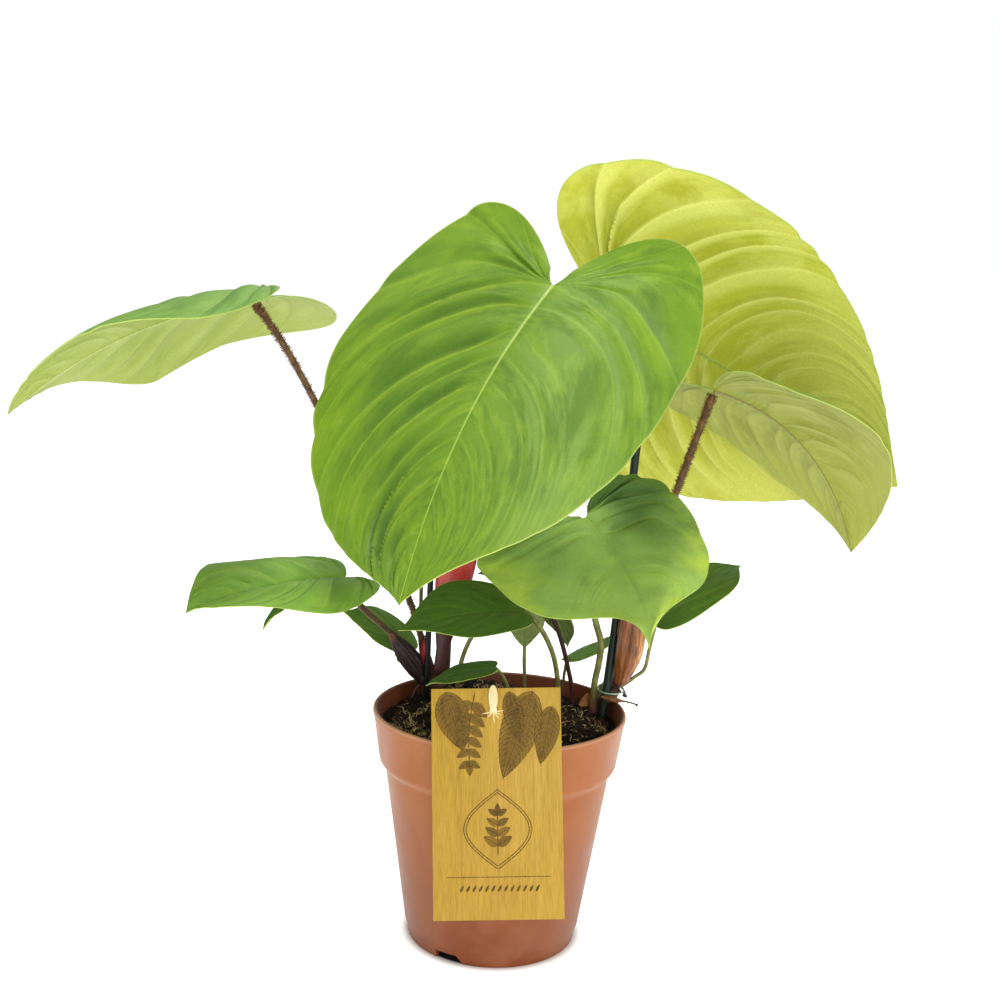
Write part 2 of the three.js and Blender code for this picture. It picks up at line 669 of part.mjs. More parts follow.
function stalkColour(name) {
  if (BROWN_STALKS.includes(name)) {
    return COLOURS.brown;
  }
  return DARK_STALKS.includes(name) ? COLOURS.dark : COLOURS.olive;
}

function makeLeaf(spec, stems) {
  const leaf = { ...spec.kind, ...spec };
  const stalkTools = [bladeGeometry(leaf, GAP), seatClearance(leaf), ...stems];
  addNode(`leaf_${leaf.name}_blade`, bladeGeometry(leaf), bladeColour(leaf.name, leaf.kind), 0.45);
  addNode(`leaf_${leaf.name}_stalk`, cut(petioleGeometry(leaf), stalkTools), stalkColour(leaf.name), 0.7);
  return petioleGeometry(leaf, GAP);
}

// Card and holder: the holder's pin comes through a hole near the card's top edge and stands up in front

function onCard(geometry) {
  geometry.rotateY(CARD_ROLL * DEG);
  geometry.rotateX(-CARD_LEAN * DEG);
  geometry.translate(...CARD_TOP);
  return geometry;
}

function slab(width, depth, height, x, y, z) {
  const geometry = new THREE.BoxGeometry(width, depth, height);
  geometry.translate(x, y, z);
  return geometry;
}

function makeCard() {
  const card = slab(CARD_WIDTH, CARD_THICKNESS, CARD_HEIGHT, 0, 0, -CARD_HEIGHT / 2);
  const width = PIN_WIDTH + 2 * GAP;
  const height = PIN_HEIGHT + 2 * GAP;
  const hole = slab(width, 4 * CARD_THICKNESS, height, PIN_X, 0, -PIN_DROP);
  addNode('care_card', cut(onCard(card), [onCard(hole)]), COLOURS.card, 0.6);
}

// The pin's head: a flat oval in front of the card
function headGeometry() {
  const outline = new THREE.Shape();
  outline.absellipse(0, 0, HEAD_WIDTH / 2, HEAD_LENGTH / 2, 0, 2 * Math.PI);
  const head = new THREE.ExtrudeGeometry(outline, {
    depth: HOLDER_THICKNESS, bevelEnabled: false, curveSegments: 10,
  });
  head.rotateX(Math.PI / 2);
  const front = -CARD_THICKNESS / 2 - GAP;
  head.translate(PIN_X, front, -PIN_DROP - PIN_HEIGHT / 2 + HEAD_LENGTH / 2);
  return head;
}

function pinGeometry() {
  const front = -CARD_THICKNESS / 2 - GAP - HOLDER_THICKNESS / 2;
  const depth = PIN_REACH - front;
  return slab(PIN_WIDTH, depth, PIN_HEIGHT, PIN_X, front + depth / 2, -PIN_DROP);
}

// The flat stick behind the card, down into the soil
function stickGeometry(grow = 0) {
  const [, footY, footZ] = STICK_FOOT;
  const [, topY, topZ] = STICK_TOP;
  const length = Math.hypot(topY - footY, topZ - footZ) + 2 * grow;
  const stick = slab(PIN_WIDTH + 2 * grow, HOLDER_THICKNESS + 2 * grow, length, 0, 0, length / 2 - grow);
  stick.rotateX(Math.atan2(footY - topY, topZ - footZ));
  stick.translate(...STICK_FOOT);
  return stick;
}

function makeHolder() {
  let solid = toSolid(stickGeometry());
  for (const part of [pinGeometry(), headGeometry()]) {
    solid = solid.add(toSolid(onCard(part)));
  }
  addNode('card_holder', toGeometry(solid), COLOURS.holder, 0.5);
}

// Tie: one turn of wire round the right stake and stem

function makeTie() {
  const ring = new THREE.TorusGeometry(TIE_HALF_WIDTH, TIE_WIRE, 6, 20);
  ring.scale(1, TIE_HALF_DEPTH / TIE_HALF_WIDTH, 1);
  ring.rotateX(-TIE_TILT * DEG);
  ring.translate(...TIE_CENTRE);
  addNode('stake_tie', ring, COLOURS.tie, 0.5);
}

// Assembly

makePot();

const stakeLeft = (grow) => tube(STAKE_LEFT, STAKE_LEFT_RADIUS, 8, 1, grow);
const stakeRight = (grow) => tube(STAKE_RIGHT, STAKE_RIGHT_RADIUS, 8, 8, grow);
const root = (grow) => tube(AERIAL_ROOT.path, AERIAL_ROOT.radius, 6, 6, grow);
const spear = (grow) => tube(SPEAR.path, SPEAR.radius, 6, 10, grow);
const stemShells = [stemGeometry(STEM_LEFT, GAP), stemGeometry(STEM_RIGHT, GAP)];
const rooted = [...stemShells, stakeLeft(GAP), stakeRight(GAP), stickGeometry(GAP), root(GAP)];

for (const spec of LEAVES) {
  rooted.push(makeLeaf(spec, stemShells));
}

addNode('stem_left', cut(stemGeometry(STEM_LEFT), [stakeLeft(GAP)]), COLOURS.stem, 0.8);
addNode('stem_right', cut(stemGeometry(STEM_RIGHT), [stakeRight(GAP)]), COLOURS.stem, 0.8);
addNode('aerial_root', cut(root(0), stemShells), COLOURS.stem, 0.8);
addNode('stake_left', stakeLeft(0), COLOURS.stakeLeft, 0.45);
addNode('stake_right', stakeRight(0), COLOURS.stakeRight, 0.45);
addNode('sheath_red', cut(sheathGeometry(RED_SHEATH), stemShells), COLOURS.red, 0.4);
addNode('sheath_orange', cut(sheathGeometry(ORANGE_SHEATH), stemShells), COLOURS.orange, 0.5);
addNode('sheath_small', sheathGeometry(SMALL_SHEATH), COLOURS.orange, 0.6);
addNode('sheath_dry', sheathGeometry(DRY_SHEATH), COLOURS.dry, 0.7);
addNode('young_spear', cut(spear(0), stemShells), COLOURS.olive, 0.5);
makeTie();
makeCard();
makeHolder();

rooted.push(sheathGeometry(SMALL_SHEATH, GAP));
makeSoil(rooted);

export default plant;
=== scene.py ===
"""Finishes the potted philodendron: quilted leaves, scaly stalks, sheaths, peat, pot, stakes and card."""
import math
import random

import bmesh
import bpy
from bpy.props import FloatProperty, FloatVectorProperty, IntProperty, PointerProperty
from mathutils import Matrix, Vector, noise


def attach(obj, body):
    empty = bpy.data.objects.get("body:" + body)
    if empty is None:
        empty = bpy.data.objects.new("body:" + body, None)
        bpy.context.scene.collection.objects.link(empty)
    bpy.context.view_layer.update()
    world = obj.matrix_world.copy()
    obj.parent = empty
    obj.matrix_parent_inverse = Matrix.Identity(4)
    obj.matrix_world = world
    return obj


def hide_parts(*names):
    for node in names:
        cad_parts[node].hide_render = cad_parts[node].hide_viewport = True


bl_info = {
    "name": "Potted philodendron",
    "version": (1, 0, 0),
    "blender": (4, 5, 0),
    "location": "3D View > Sidebar > Plant",
    "description": "Builds a potted philodendron with quilted leaves round its CAD frame",
    "category": "Add Mesh",
}

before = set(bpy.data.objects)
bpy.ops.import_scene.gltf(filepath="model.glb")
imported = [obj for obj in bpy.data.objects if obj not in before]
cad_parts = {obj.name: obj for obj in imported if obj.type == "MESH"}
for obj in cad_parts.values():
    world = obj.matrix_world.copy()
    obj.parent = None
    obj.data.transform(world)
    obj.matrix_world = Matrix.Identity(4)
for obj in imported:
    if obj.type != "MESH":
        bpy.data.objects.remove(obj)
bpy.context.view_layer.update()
MM = 0.001
UV_UNIT = 100  # millimetres to one unit of a UV map


# Colours and settings


def tone(red, green, blue):
    """A display colour from 0 to 255 as linear values."""
    shares = (value / 255 for value in (red, green, blue))
    return tuple(s / 12.92 if s <= 0.04045 else ((s + 0.055) / 1.055) ** 2.4 for s in shares)


def size_of(name, description, default):
    return FloatProperty(
        name=name, description=description, default=default, min=0.0, unit="LENGTH", subtype="DISTANCE",
        precision=4,
    )


def amount_of(name, description, default):
    return FloatProperty(
        name=name, description=description, default=default, min=0.0, soft_max=2.0, subtype="FACTOR"
    )


def colour_of(name, description, default):
    return FloatVectorProperty(
        name=name, description=description, default=default, size=3, min=0.0, max=1.0, subtype="COLOR"
    )


def count_of(name, description, default):
    return IntProperty(name=name, description=description, default=default, min=0, subtype="UNSIGNED")


class PotSettings(bpy.types.PropertyGroup):
    """Sizes and colours of the nursery pot"""

    height: size_of("Height", "From the foot to the rim", 0.112)
    rim_radius: size_of("Rim radius", "Outside radius at the top", 0.060)
    collar_radius: size_of("Collar radius", "Outside radius at the foot of the collar", 0.0566)
    body_radius: size_of("Body radius", "Outside radius under the collar", 0.0531)
    foot_radius: size_of("Foot radius", "Outside radius of the foot ring", 0.0413)
    wall: size_of("Wall", "Thickness of the wall", 0.0015)
    colour: colour_of("Colour", "Terracotta of the plastic", tone(156, 88, 34))
    # The deep colour is painted shade: it darkens the pot towards its foot.
    deep: colour_of("Deep colour", "Darker terracotta low on the pot", tone(116, 52, 14))
    # The edge colour also paints a highlight along the rim and light on the collar's foot.
    edge: colour_of("Edge colour", "Paler plastic along the edges", tone(196, 146, 112))


class SoilSettings(bpy.types.PropertyGroup):
    """Height, grain and colours of the peat"""

    crown: size_of("Crown", "Height of the soil in the middle", 0.1062)
    edge: size_of("Edge", "Height of the soil at the wall", 0.1035)
    clods: count_of("Clods", "Number of peat clods", 1500)
    fibres: count_of("Fibres", "Number of pale fibres", 340)
    colour: colour_of("Peat", "Colour of the damp peat", tone(15, 10, 7))
    straw: colour_of("Fibre colour", "Colour of the pale fibres", tone(206, 176, 128))
    moss: colour_of("Moss colour", "Colour of the moss", tone(204, 180, 124))


class LeafSettings(bpy.types.PropertyGroup):
    """Thickness, relief and vein colours of the blades"""

    thickness: size_of("Thickness", "Thickness of a blade", 0.0004)
    relief: amount_of("Relief", "How deep the quilting between the veins is", 1.0)
    vein: colour_of("Vein colour", "Pale green of the midribs", tone(168, 196, 82))
    margin: colour_of("Margin colour", "Pale line along the margins", tone(166, 184, 84))


class StalkSettings(bpy.types.PropertyGroup):
    """Colours and scales of the stalks"""

    brown: colour_of("Brown", "Colour of the scaly stalks", tone(82, 57, 24))
    olive: colour_of("Olive", "Colour of the smooth stalks", tone(110, 110, 54))
    dark: colour_of("Dark", "Colour of the darkest stalks", tone(40, 34, 28))
    foot: colour_of("Foot colour", "Maroon at the foot of the stalks", tone(74, 28, 24))
    scale_length: size_of("Scale length", "Length of one scale on a brown stalk", 0.0015)
    scales: count_of("Scales", "Number of scales on one brown stalk", 2100)


class CardSettings(bpy.types.PropertyGroup):
    """Sizes and colours of the care card"""

    width: size_of("Width", "Width of the card", 0.056)
    height: size_of("Height", "Height of the card", 0.098)
    thickness: size_of("Thickness", "Thickness of the board", 0.0008)
    gold: colour_of("Gold", "Colour of the wood grain", tone(180, 142, 38))
    grain: colour_of("Grain", "Darker lines of the wood grain", tone(158, 121, 32))
    tint: colour_of("Tint", "Thin ink that fills the printed leaves", tone(122, 94, 38))
    ink: colour_of("Ink", "Colour of the printed leaves", tone(76, 56, 24))
    cream: colour_of("Cream", "Colour of the peg", tone(236, 222, 176))


class StudioSettings(bpy.types.PropertyGroup):
    """Camera, floor and light of the stage"""

    lens: FloatProperty(
        name="Lens", description="Focal length", default=50.4, min=1.0, unit="CAMERA",
        subtype="DISTANCE_CAMERA",
    )
    floor: colour_of("Floor", "Colour of the floor", (0.9, 0.9, 0.9))
    sky: amount_of("Sky", "Strength of the light from all round", 0.45)
    key: FloatProperty(
        name="Key light", description="Power of the soft main light", default=13.0, min=0.0,
        unit="POWER", subtype="POWER",
    )


# Tools for objects


def deselect():
    if bpy.context.mode != "OBJECT":
        bpy.ops.object.mode_set(mode="OBJECT")
    bpy.ops.object.select_all(action="DESELECT")


def activate(*pieces):
    deselect()
    for piece in pieces:
        piece.select_set(True)
    bpy.context.view_layer.objects.active = pieces[0]
    return pieces[0]


def join(*pieces):
    """Joins these objects into the first."""
    activate(*pieces)
    bpy.ops.object.join()
    return pieces[0]


def tidy_mesh(piece, distance=2e-6):
    """Closes seams and points every face outwards."""
    activate(piece)
    bpy.ops.object.mode_set(mode="EDIT")
    bpy.ops.mesh.select_all(action="SELECT")
    bpy.ops.mesh.remove_doubles(threshold=distance)
    bpy.ops.mesh.normals_make_consistent(inside=False)
    bpy.ops.object.mode_set(mode="OBJECT")
    return piece


def smooth(piece, angle=50.0):
    activate(piece)
    bpy.ops.object.shade_smooth_by_angle(angle=math.radians(angle))
    return piece


def apply_modifier(piece, kind, **values):
    """Adds one modifier with these values and applies it."""
    activate(piece)
    modifier = piece.modifiers.new(kind.title(), kind)
    for key, value in values.items():
        setattr(modifier, key, value)
    bpy.ops.object.modifier_apply(modifier=modifier.name)
    return piece


def cut_out(piece, *cutters):
    """Cuts these solids out of a piece and removes them."""
    for cutter in cutters:
        apply_modifier(piece, "BOOLEAN", object=cutter, operation="DIFFERENCE", solver="EXACT")
        bpy.data.objects.remove(cutter)
    return piece


def finish_piece(piece, name, slot, materials, *nodes):
    """Names a piece, gives it its finish and hides the CAD nodes it stands for."""
    activate(piece)
    bpy.ops.object.transform_apply(location=True, rotation=True, scale=True)
    piece.name = name
    piece.data.name = name
    for material in materials:
        piece.data.materials.append(material)
    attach(piece, "root")
    if nodes:
        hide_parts(*nodes)
    return piece


def copies_of(template, places):
    """One object of copies of a small template at these matrices. The template is removed."""
    whole = bmesh.new()
    for place in places:
        start = len(whole.verts)
        whole.from_mesh(template.data)
        whole.verts.ensure_lookup_table()
        bmesh.ops.transform(whole, matrix=place, verts=whole.verts[start:])
    whole.to_mesh(template.data)
    whole.free()
    template.matrix_world = Matrix.Identity(4)
    return template


def turned(stations, corners):
    """A round solid, extruded and scaled from station to station. Each station is a radius and a height."""
    deselect()
    radius, height = stations[0]
    bpy.ops.mesh.primitive_circle_add(
        vertices=corners, radius=radius, fill_type="NGON", location=(0, 0, height)
    )
    solid = bpy.context.object
    bpy.ops.object.transform_apply(location=True)
    bpy.ops.object.mode_set(mode="EDIT")
    bpy.ops.mesh.select_all(action="SELECT")
    for next_radius, next_height in stations[1:]:
        bpy.ops.mesh.extrude_region_move(TRANSFORM_OT_translate={"value": (0, 0, next_height - height)})
        share = next_radius / radius
        bpy.ops.transform.resize(value=(share, share, 1), center_override=(0, 0, next_height))
        radius, height = next_radius, next_height
    bpy.ops.mesh.select_all(action="SELECT")
    bpy.ops.mesh.normals_make_consistent(inside=False)
    bpy.ops.object.mode_set(mode="OBJECT")
    return solid


def route(points, count):
    """A smooth line through these points, as a list of places."""
    stops = [Vector(point) for point in points]
    line = [2 * stops[0] - stops[1], *stops, 2 * stops[-1] - stops[-2]]
    places = []
    for i in range(count + 1):
        place = i / count * (len(stops) - 1)
        first = min(int(place), len(stops) - 2)
        a, b, c, d = line[first:first + 4]
        before, span, after = ((q - p).length ** 0.5 for p, q in ((a, b), (b, c), (c, d)))
        leave = ((b - a) / before - (c - a) / (before + span) + (c - b) / span) * span
        arrive = ((c - b) / span - (d - b) / (span + after) + (d - c) / after) * span
        w = place - first
        rise = w * w * (3 - 2 * w)
        places.append(b * (1 - rise) + c * rise + leave * w * (1 - w) ** 2 - arrive * w * w * (1 - w))
    return places


def tube(places, radius_at, roundness=3):
    """A closed tube along places in millimetres. radius_at gives its radius at each share of its length."""
    deselect()
    bpy.ops.curve.primitive_bezier_curve_add()
    curve = bpy.context.object
    shape = curve.data
    shape.dimensions = "3D"
    shape.splines.clear()
    line = shape.splines.new("POLY")
    line.points.add(len(places) - 1)
    for i, (stop, place) in enumerate(zip(line.points, places)):
        stop.co = (*(Vector(place) * MM), 1)
        stop.radius = radius_at(i / (len(places) - 1))
    shape.bevel_depth = MM
    shape.bevel_resolution = roundness
    shape.use_fill_caps = True
    bpy.ops.object.convert(target="MESH")
    return smooth(tidy_mesh(bpy.context.object))


def roughen(piece, depth, grain):
    """Moves each point along its normal by a steady noise, in millimetres."""
    for vertex in piece.data.vertices:
        vertex.co += vertex.normal * depth * MM * noise.noise(vertex.co / (grain * MM))
    return piece


# Tools for materials


def rgba(colour):
    return (*colour, 1.0)


class Graph:
    """Places and links the nodes of a material or a node group."""

    def __init__(self, tree):
        self.tree = tree

    def add(self, kind, *inputs, **settings):
        node = self.tree.nodes.new("ShaderNode" + kind)
        for key, value in settings.items():
            setattr(node, key, value)
        for socket, value in zip(node.inputs, inputs):
            self.feed(socket, value)
        return node

    def feed(self, socket, value):
        if isinstance(value, bpy.types.NodeSocket):
            self.tree.links.new(value, socket)
        elif value is not None:
            socket.default_value = value

    def fill(self, node, **values):
        """Feeds the inputs of these names."""
        for name, value in values.items():
            self.feed(node.inputs[name.replace("_", " ")], value)
        return node

    def math(self, operation, *values):
        return self.add("Math", *values, operation=operation).outputs[0]

    def times(self, first, second):
        return self.math("MULTIPLY", first, second)

    def parts(self, vector):
        return self.add("SeparateXYZ", vector).outputs

    def uv(self, name):
        return self.add("UVMap", uv_map=name).outputs[0]

    def mix(self, share, first, second, blend="MIX"):
        node = self.add("Mix", data_type="RGBA", blend_type=blend)
        for socket, value in ((0, share), (6, first), (7, second)):
            self.feed(node.inputs[socket], value)
        return node.outputs[2]

    def band(self, value, low, high, first=0.0, last=1.0):
        """A smooth step: first below low, last above high."""
        node = self.add("MapRange", value, low, high, first, last, interpolation_type="SMOOTHSTEP")
        return node.outputs[0]

    def noise(self, vector, scale, detail=3.0, roughness=0.55):
        node = self.add("TexNoise")
        self.fill(node, Vector=vector, Scale=scale, Detail=detail, Roughness=roughness)
        return node.outputs[0]

    def stretched(self, vector, scale):
        return self.fill(self.add("Mapping"), Vector=vector, Scale=scale).outputs[0]

    def place(self):
        return self.add("TexCoord").outputs["Object"]

    def bump(self, height, strength, distance):
        return self.fill(self.add("Bump"), Strength=strength, Distance=distance, Height=height).outputs[0]


def new_material(name, **constants):
    """A material, its graph and its shader, with these constants on the shader's own sockets."""
    material = bpy.data.materials.new(name)
    material.use_nodes = True
    graph = Graph(material.node_tree)
    return material, graph, graph.fill(material.node_tree.nodes["Principled BSDF"], **constants)


def new_group(name, inputs, outputs):
    """A node group with sockets of these kinds and names, its graph, its inputs and its outputs."""
    group = bpy.data.node_groups.new(name, "ShaderNodeTree")
    for way, sockets in (("INPUT", inputs), ("OUTPUT", outputs)):
        for kind, labels in sockets.items():
            for label in labels.split():
                group.interface.new_socket(label, in_out=way, socket_type="NodeSocket" + kind)
    graph = Graph(group)
    entry = group.nodes.new("NodeGroupInput")
    leave = group.nodes.new("NodeGroupOutput")
    return group, graph, entry.outputs, leave.inputs


def use_group(graph, group, **values):
    node = graph.tree.nodes.new("ShaderNodeGroup")
    node.node_tree = group
    return graph.fill(node, **values).outputs


def kept(table, name, make):
    """Makes a material or group once and finds it again by its name."""
    found = table.get(name)
    return found if found else make()


def skin_group():
    """Colour, roughness and relief of a blade, drawn along its veins, with painted light and painted shade on
    the folds between them.
    """
    group, graph, given, out = new_group(
        "Leaf skin",
        {"Vector": "Place Blade Flat Fold", "Color": "Base Light Dark Vein Edge",
         "Float": "Veins Valleys Mottling Glow Line Rib Length Calm Top Rim Tip"},
        {"Color": "Colour", "Float": "Roughness Height"},
    )
    phase, share, _ = graph.parts(given["Blade"])
    across, along, _ = graph.parts(given["Flat"])
    strength, row, _ = graph.parts(given["Fold"])
    turn = graph.math("FRACT", phase)
    away = graph.math("MINIMUM", turn, graph.math("SUBTRACT", 1.0, turn))
    fade = graph.band(share, 0.04, 0.3)
    veined = graph.add("CombineXYZ", graph.times(phase, 1.3), graph.times(share, 2.2), 0.0).outputs[0]
    drift = graph.mix(given["Calm"], veined, graph.stretched(given["Place"], (38.0, 38.0, 38.0)))
    patches = graph.band(graph.noise(drift, 1.2, 4.0, 0.6), 0.46, 0.64)
    clouds = graph.band(graph.noise(graph.stretched(drift, (0.7, 0.8, 1.0)), 2.3, 4.0, 0.6), 0.46, 0.66)
    colour = graph.mix(graph.times(patches, given["Mottling"]), given["Base"], given["Dark"])
    colour = graph.mix(graph.times(clouds, given["Mottling"]), colour, given["Light"])
    # Painted light: the light colour on the flank just after each vein, where a fold faces the light.
    upper = graph.times(graph.band(turn, 0.02, 0.5, 1.0, 0.0), graph.band(share, 0.02, 0.12))
    upper = graph.times(upper, graph.band(strength, 0.0, 0.9))
    colour = graph.mix(graph.times(upper, given["Glow"]), colour, given["Light"])
    # Painted shade: the dark colour on the flank just before each vein, in the valley between two folds.
    lower = graph.times(graph.band(turn, 0.5, 0.95), graph.band(turn, 0.965, 1.0, 1.0, 0.2))
    lower = graph.times(graph.times(lower, given["Valleys"]), graph.band(strength, 0.1, 1.3))
    colour = graph.mix(lower, colour, given["Dark"])
    # Painted shade: the dark colour over the upper part of the blade near its seat, where a leaf above shades
    # it.
    top = graph.times(graph.band(row, 0.4, 0.68, 1.0, 0.0), graph.band(share, 0.05, 0.45, 0.3, 1.0))
    top = graph.times(top, graph.band(across, -0.05, 0.1, 1.0, 0.4))
    colour = graph.mix(graph.times(top, given["Top"]), colour, given["Dark"])
    tip = graph.times(graph.band(row, 0.5, 0.82), graph.band(share, 0.0, 0.5, 0.3, 1.0))
    colour = graph.mix(graph.times(tip, given["Tip"]), colour, given["Light"])
    uneven = graph.band(graph.noise(given["Place"], 42.0), 0.42, 0.6)
    rim = graph.times(graph.band(share, 0.45, 0.95), uneven)
    rim = graph.times(rim, graph.math("SUBTRACT", 1.0, graph.times(top, given["Top"])))
    colour = graph.mix(graph.times(rim, given["Rim"]), colour, given["Light"])
    fine = graph.math("SINE", graph.times(phase, 2 * math.pi * 3))
    faint = graph.times(graph.band(fine, 0.0, 1.0, 0.0, 0.07), graph.band(strength, 0.0, 0.8))
    colour = graph.mix(faint, colour, given["Dark"])
    thin = graph.band(share, 0.3, 1.0, 0.09, 0.045)
    vein = graph.band(graph.math("DIVIDE", away, thin), 0.2, 1.0, 1.0, 0.0)
    colour = graph.mix(graph.times(vein, given["Veins"]), colour, given["Vein"])
    taper = graph.math("DIVIDE", along, given["Length"])
    width = graph.times(given["Rib"], graph.band(taper, -0.1, 1.0, 1.0, 0.25))
    rib = graph.band(graph.math("DIVIDE", graph.math("ABSOLUTE", across), width), 0.3, 1.0, 1.0, 0.0)
    colour = graph.mix(graph.times(rib, given["Line"]), colour, given["Vein"])
    colour = graph.mix(graph.band(share, 0.988, 0.998, 0.0, 0.6), colour, given["Edge"])
    speck = graph.band(graph.noise(given["Place"], 900.0, 2.0), 0.3, 0.7, 0.95, 1.04)
    bright = graph.add("HueSaturation", 0.5, 1.0, speck, 1.0, colour)
    graph.feed(out["Colour"], bright.outputs[0])
    graph.feed(out["Roughness"], graph.band(patches, 0.0, 1.0, 0.48, 0.6))
    cells = graph.noise(given["Place"], 1400.0, 2.0)
    ripple = graph.times(graph.times(fine, 0.35), fade)
    graph.feed(out["Height"], graph.math("ADD", ripple, graph.times(cells, 0.6)))
    return group


def blade_material(
    name, base, light, dark, vein, edge, leaf, veins, valleys, glow, line, relief, marks, mottling
):
    """One side of a blade."""
    material, graph, shader = new_material(name, Specular_IOR_Level=0.16)
    group = kept(bpy.data.node_groups, "Leaf skin", skin_group)
    skin = use_group(
        graph, group, Place=graph.place(), Blade=graph.uv("Blade"), Flat=graph.uv("Flat"),
        Fold=graph.uv("Fold"), Base=rgba(tone(*base)), Light=rgba(tone(*light)), Dark=rgba(tone(*dark)),
        Vein=rgba(vein), Edge=rgba(edge), Veins=veins, Valleys=valleys, Mottling=mottling, Glow=glow,
        Line=line, Rib=leaf["rib"] / UV_UNIT, Length=leaf["length"] / UV_UNIT, **marks,
    )
    relief = graph.bump(skin["Height"], relief, 0.00035)
    graph.fill(shader, Base_Color=skin["Colour"], Roughness=skin["Roughness"], Normal=relief)
    return material


def fibre_group():
    """Streaks along a stalk or a sheath: a mask for its colour, its roughness and its relief."""
    group, graph, given, out = new_group(
        "Plant fibre",
        {"Vector": "Place", "Float": "Scale"},
        {"Float": "Streaks Blotches Roughness Height"},
    )
    drawn = graph.stretched(given["Place"], (1.0, 1.0, 0.12))
    streaks = graph.noise(drawn, given["Scale"], 4.0, 0.65)
    blotches = graph.noise(given["Place"], graph.times(given["Scale"], 0.2), 3.0)
    graph.feed(out["Streaks"], graph.band(streaks, 0.36, 0.66))
    graph.feed(out["Blotches"], graph.band(blotches, 0.4, 0.62))
    graph.feed(out["Roughness"], graph.band(streaks, 0.3, 0.7, 0.38, 0.62))
    graph.feed(out["Height"], streaks)
    return group


def fibre_material(name, base, streak, foot, low, high, grain=900.0, relief=0.5, blotch=None, gloss=0.4):
    """A stalk, stem or sheath, coloured like its foot up to low and in its own colour from high upwards."""
    material, graph, shader = new_material(name, Specular_IOR_Level=gloss)
    place = graph.place()
    group = kept(bpy.data.node_groups, "Plant fibre", fibre_group)
    fibre = use_group(graph, group, Place=place, Scale=grain)
    colour = graph.mix(graph.times(fibre["Streaks"], 0.8), rgba(base), rgba(streak))
    if blotch:
        colour = graph.mix(graph.times(fibre["Blotches"], 0.75), colour, rgba(blotch))
    wander = graph.times(graph.math("SUBTRACT", graph.noise(place, 160.0), 0.5), 0.012)
    level = graph.band(graph.math("ADD", graph.parts(place)[2], wander), low * MM, high * MM, 1.0, 0.0)
    colour = graph.mix(level, colour, rgba(foot))
    relief = graph.bump(fibre["Height"], relief, 0.0004)
    graph.fill(shader, Base_Color=colour, Roughness=fibre["Roughness"], Normal=relief)
    return material


def grain_group():
    """The fine, even grain of moulded plastic or a coating."""
    group, graph, given, out = new_group(
        "Moulded grain",
        {"Vector": "Place", "Float": "Scale"},
        {"Float": "Clouds Roughness Height"},
    )
    grain = graph.noise(given["Place"], given["Scale"], 3.0)
    clouds = graph.noise(given["Place"], graph.times(given["Scale"], 0.02), 3.0)
    graph.feed(out["Clouds"], graph.band(clouds, 0.35, 0.65))
    graph.feed(out["Roughness"], graph.band(clouds, 0.3, 0.7, 0.36, 0.5))
    graph.feed(out["Height"], grain)
    return group


def plastic_material(name, base, cloud, grain, relief=0.12, gloss=0.45):
    """Moulded plastic, with faint clouds of a second colour."""
    material, graph, shader = new_material(name, Specular_IOR_Level=gloss)
    group = kept(bpy.data.node_groups, "Moulded grain", grain_group)
    plastic = use_group(graph, group, Place=graph.place(), Scale=grain)
    colour = graph.mix(plastic["Clouds"], rgba(base), rgba(cloud))
    relief = graph.bump(plastic["Height"], relief, 0.0001)
    graph.fill(shader, Base_Color=colour, Roughness=plastic["Roughness"], Normal=relief)
    return material


def crumb_material(name, first, second, scale=700.0, relief=0.6):
    """Rough matter such as peat, bark, moss or white grains."""
    material, graph, shader = new_material(name, Specular_IOR_Level=0.2)
    place = graph.place()
    clouds = graph.noise(place, scale, 4.0, 0.7)
    wide = graph.noise(place, scale * 0.12, 2.0)
    share = graph.times(graph.band(clouds, 0.38, 0.62), graph.band(wide, 0.3, 0.6, 0.5, 1.0))
    colour = graph.mix(share, rgba(first), rgba(second))
    roughness = graph.band(clouds, 0.3, 0.7, 0.75, 0.98)
    graph.fill(shader, Base_Color=colour, Roughness=roughness, Normal=graph.bump(clouds, relief, 0.0006))
    return material


# Leaves: measures in millimetres and degrees, as in the CAD model, but for a flatter near half of the right
# leaf and a narrower tip of the middle right one

BLADE_ROWS = {"MATURE": 180, "YOUNG": 60}
BLADE_COLUMNS = {"MATURE": 42, "YOUNG": 16}
CROWDING = 1.3  # brings the columns of a blade closer together near its midrib
ARCH = 0.95  # how far the lateral veins arch towards the tip
SINUS_START = 0.03
LOBE_SHARE = 0.16
WIDEST_SHARE = 0.46
FAN_SHARE = 0.3
RIB_STEPS = 24
RIB_SHARE = 0.9  # how far the midrib stands out, as a share of the blade's length
SHARED = {
    "MATURE": {
        "lobe_at": 0.55, "fullness": 0.5, "tip_width": 0.2, "tip_length": 0.14, "lobe_scale": (1, 1),
        "fold": (8, 8), "curl": (25, 25), "lobe_droop": 0, "twist": 0, "sweep": 0, "basal": 4, "lateral": 9,
        "quilt": (1.6, 1.6), "ruffle": 0.8, "rib": 1.1, "scallop": 0.012, "line": 0.35, "valleys": 0.7,
        "calm": (0.3, 0.3), "base": 0.55,
    },
    "YOUNG": {
        "lobe_at": 0.35, "fullness": 0.43, "tip_width": 0.17, "tip_length": 0.28, "lobe_scale": (1, 1),
        "fold": (8, 8), "curl": (18, 18), "lobe_droop": 5, "twist": 0, "sweep": 0, "basal": 2, "lateral": 6,
        "quilt": (0.4, 0.4), "ruffle": 0.3, "rib": 0.6, "scallop": 0.004, "line": 0.2, "valleys": 0.3,
        "calm": (0.3, 0.3), "base": 0.55,
    },
}


def leaf_of(kind, seat, aim, length, half, lobe, widest, droop, radius, path, **more):
    """One leaf. aim is the heading, rise and roll of its midrib, and path the route of its stalk."""
    heading, rise, roll = aim
    return {
        **SHARED[kind], "kind": kind, "seat": seat, "heading": heading, "rise": rise, "roll": roll,
        "length": length, "half": half, "lobe": lobe, "widest": widest, "droop": droop, "radius": radius,
        "path": path, "look": "fresh", "stalk": "olive", "foot": 1.3, **more,
    }


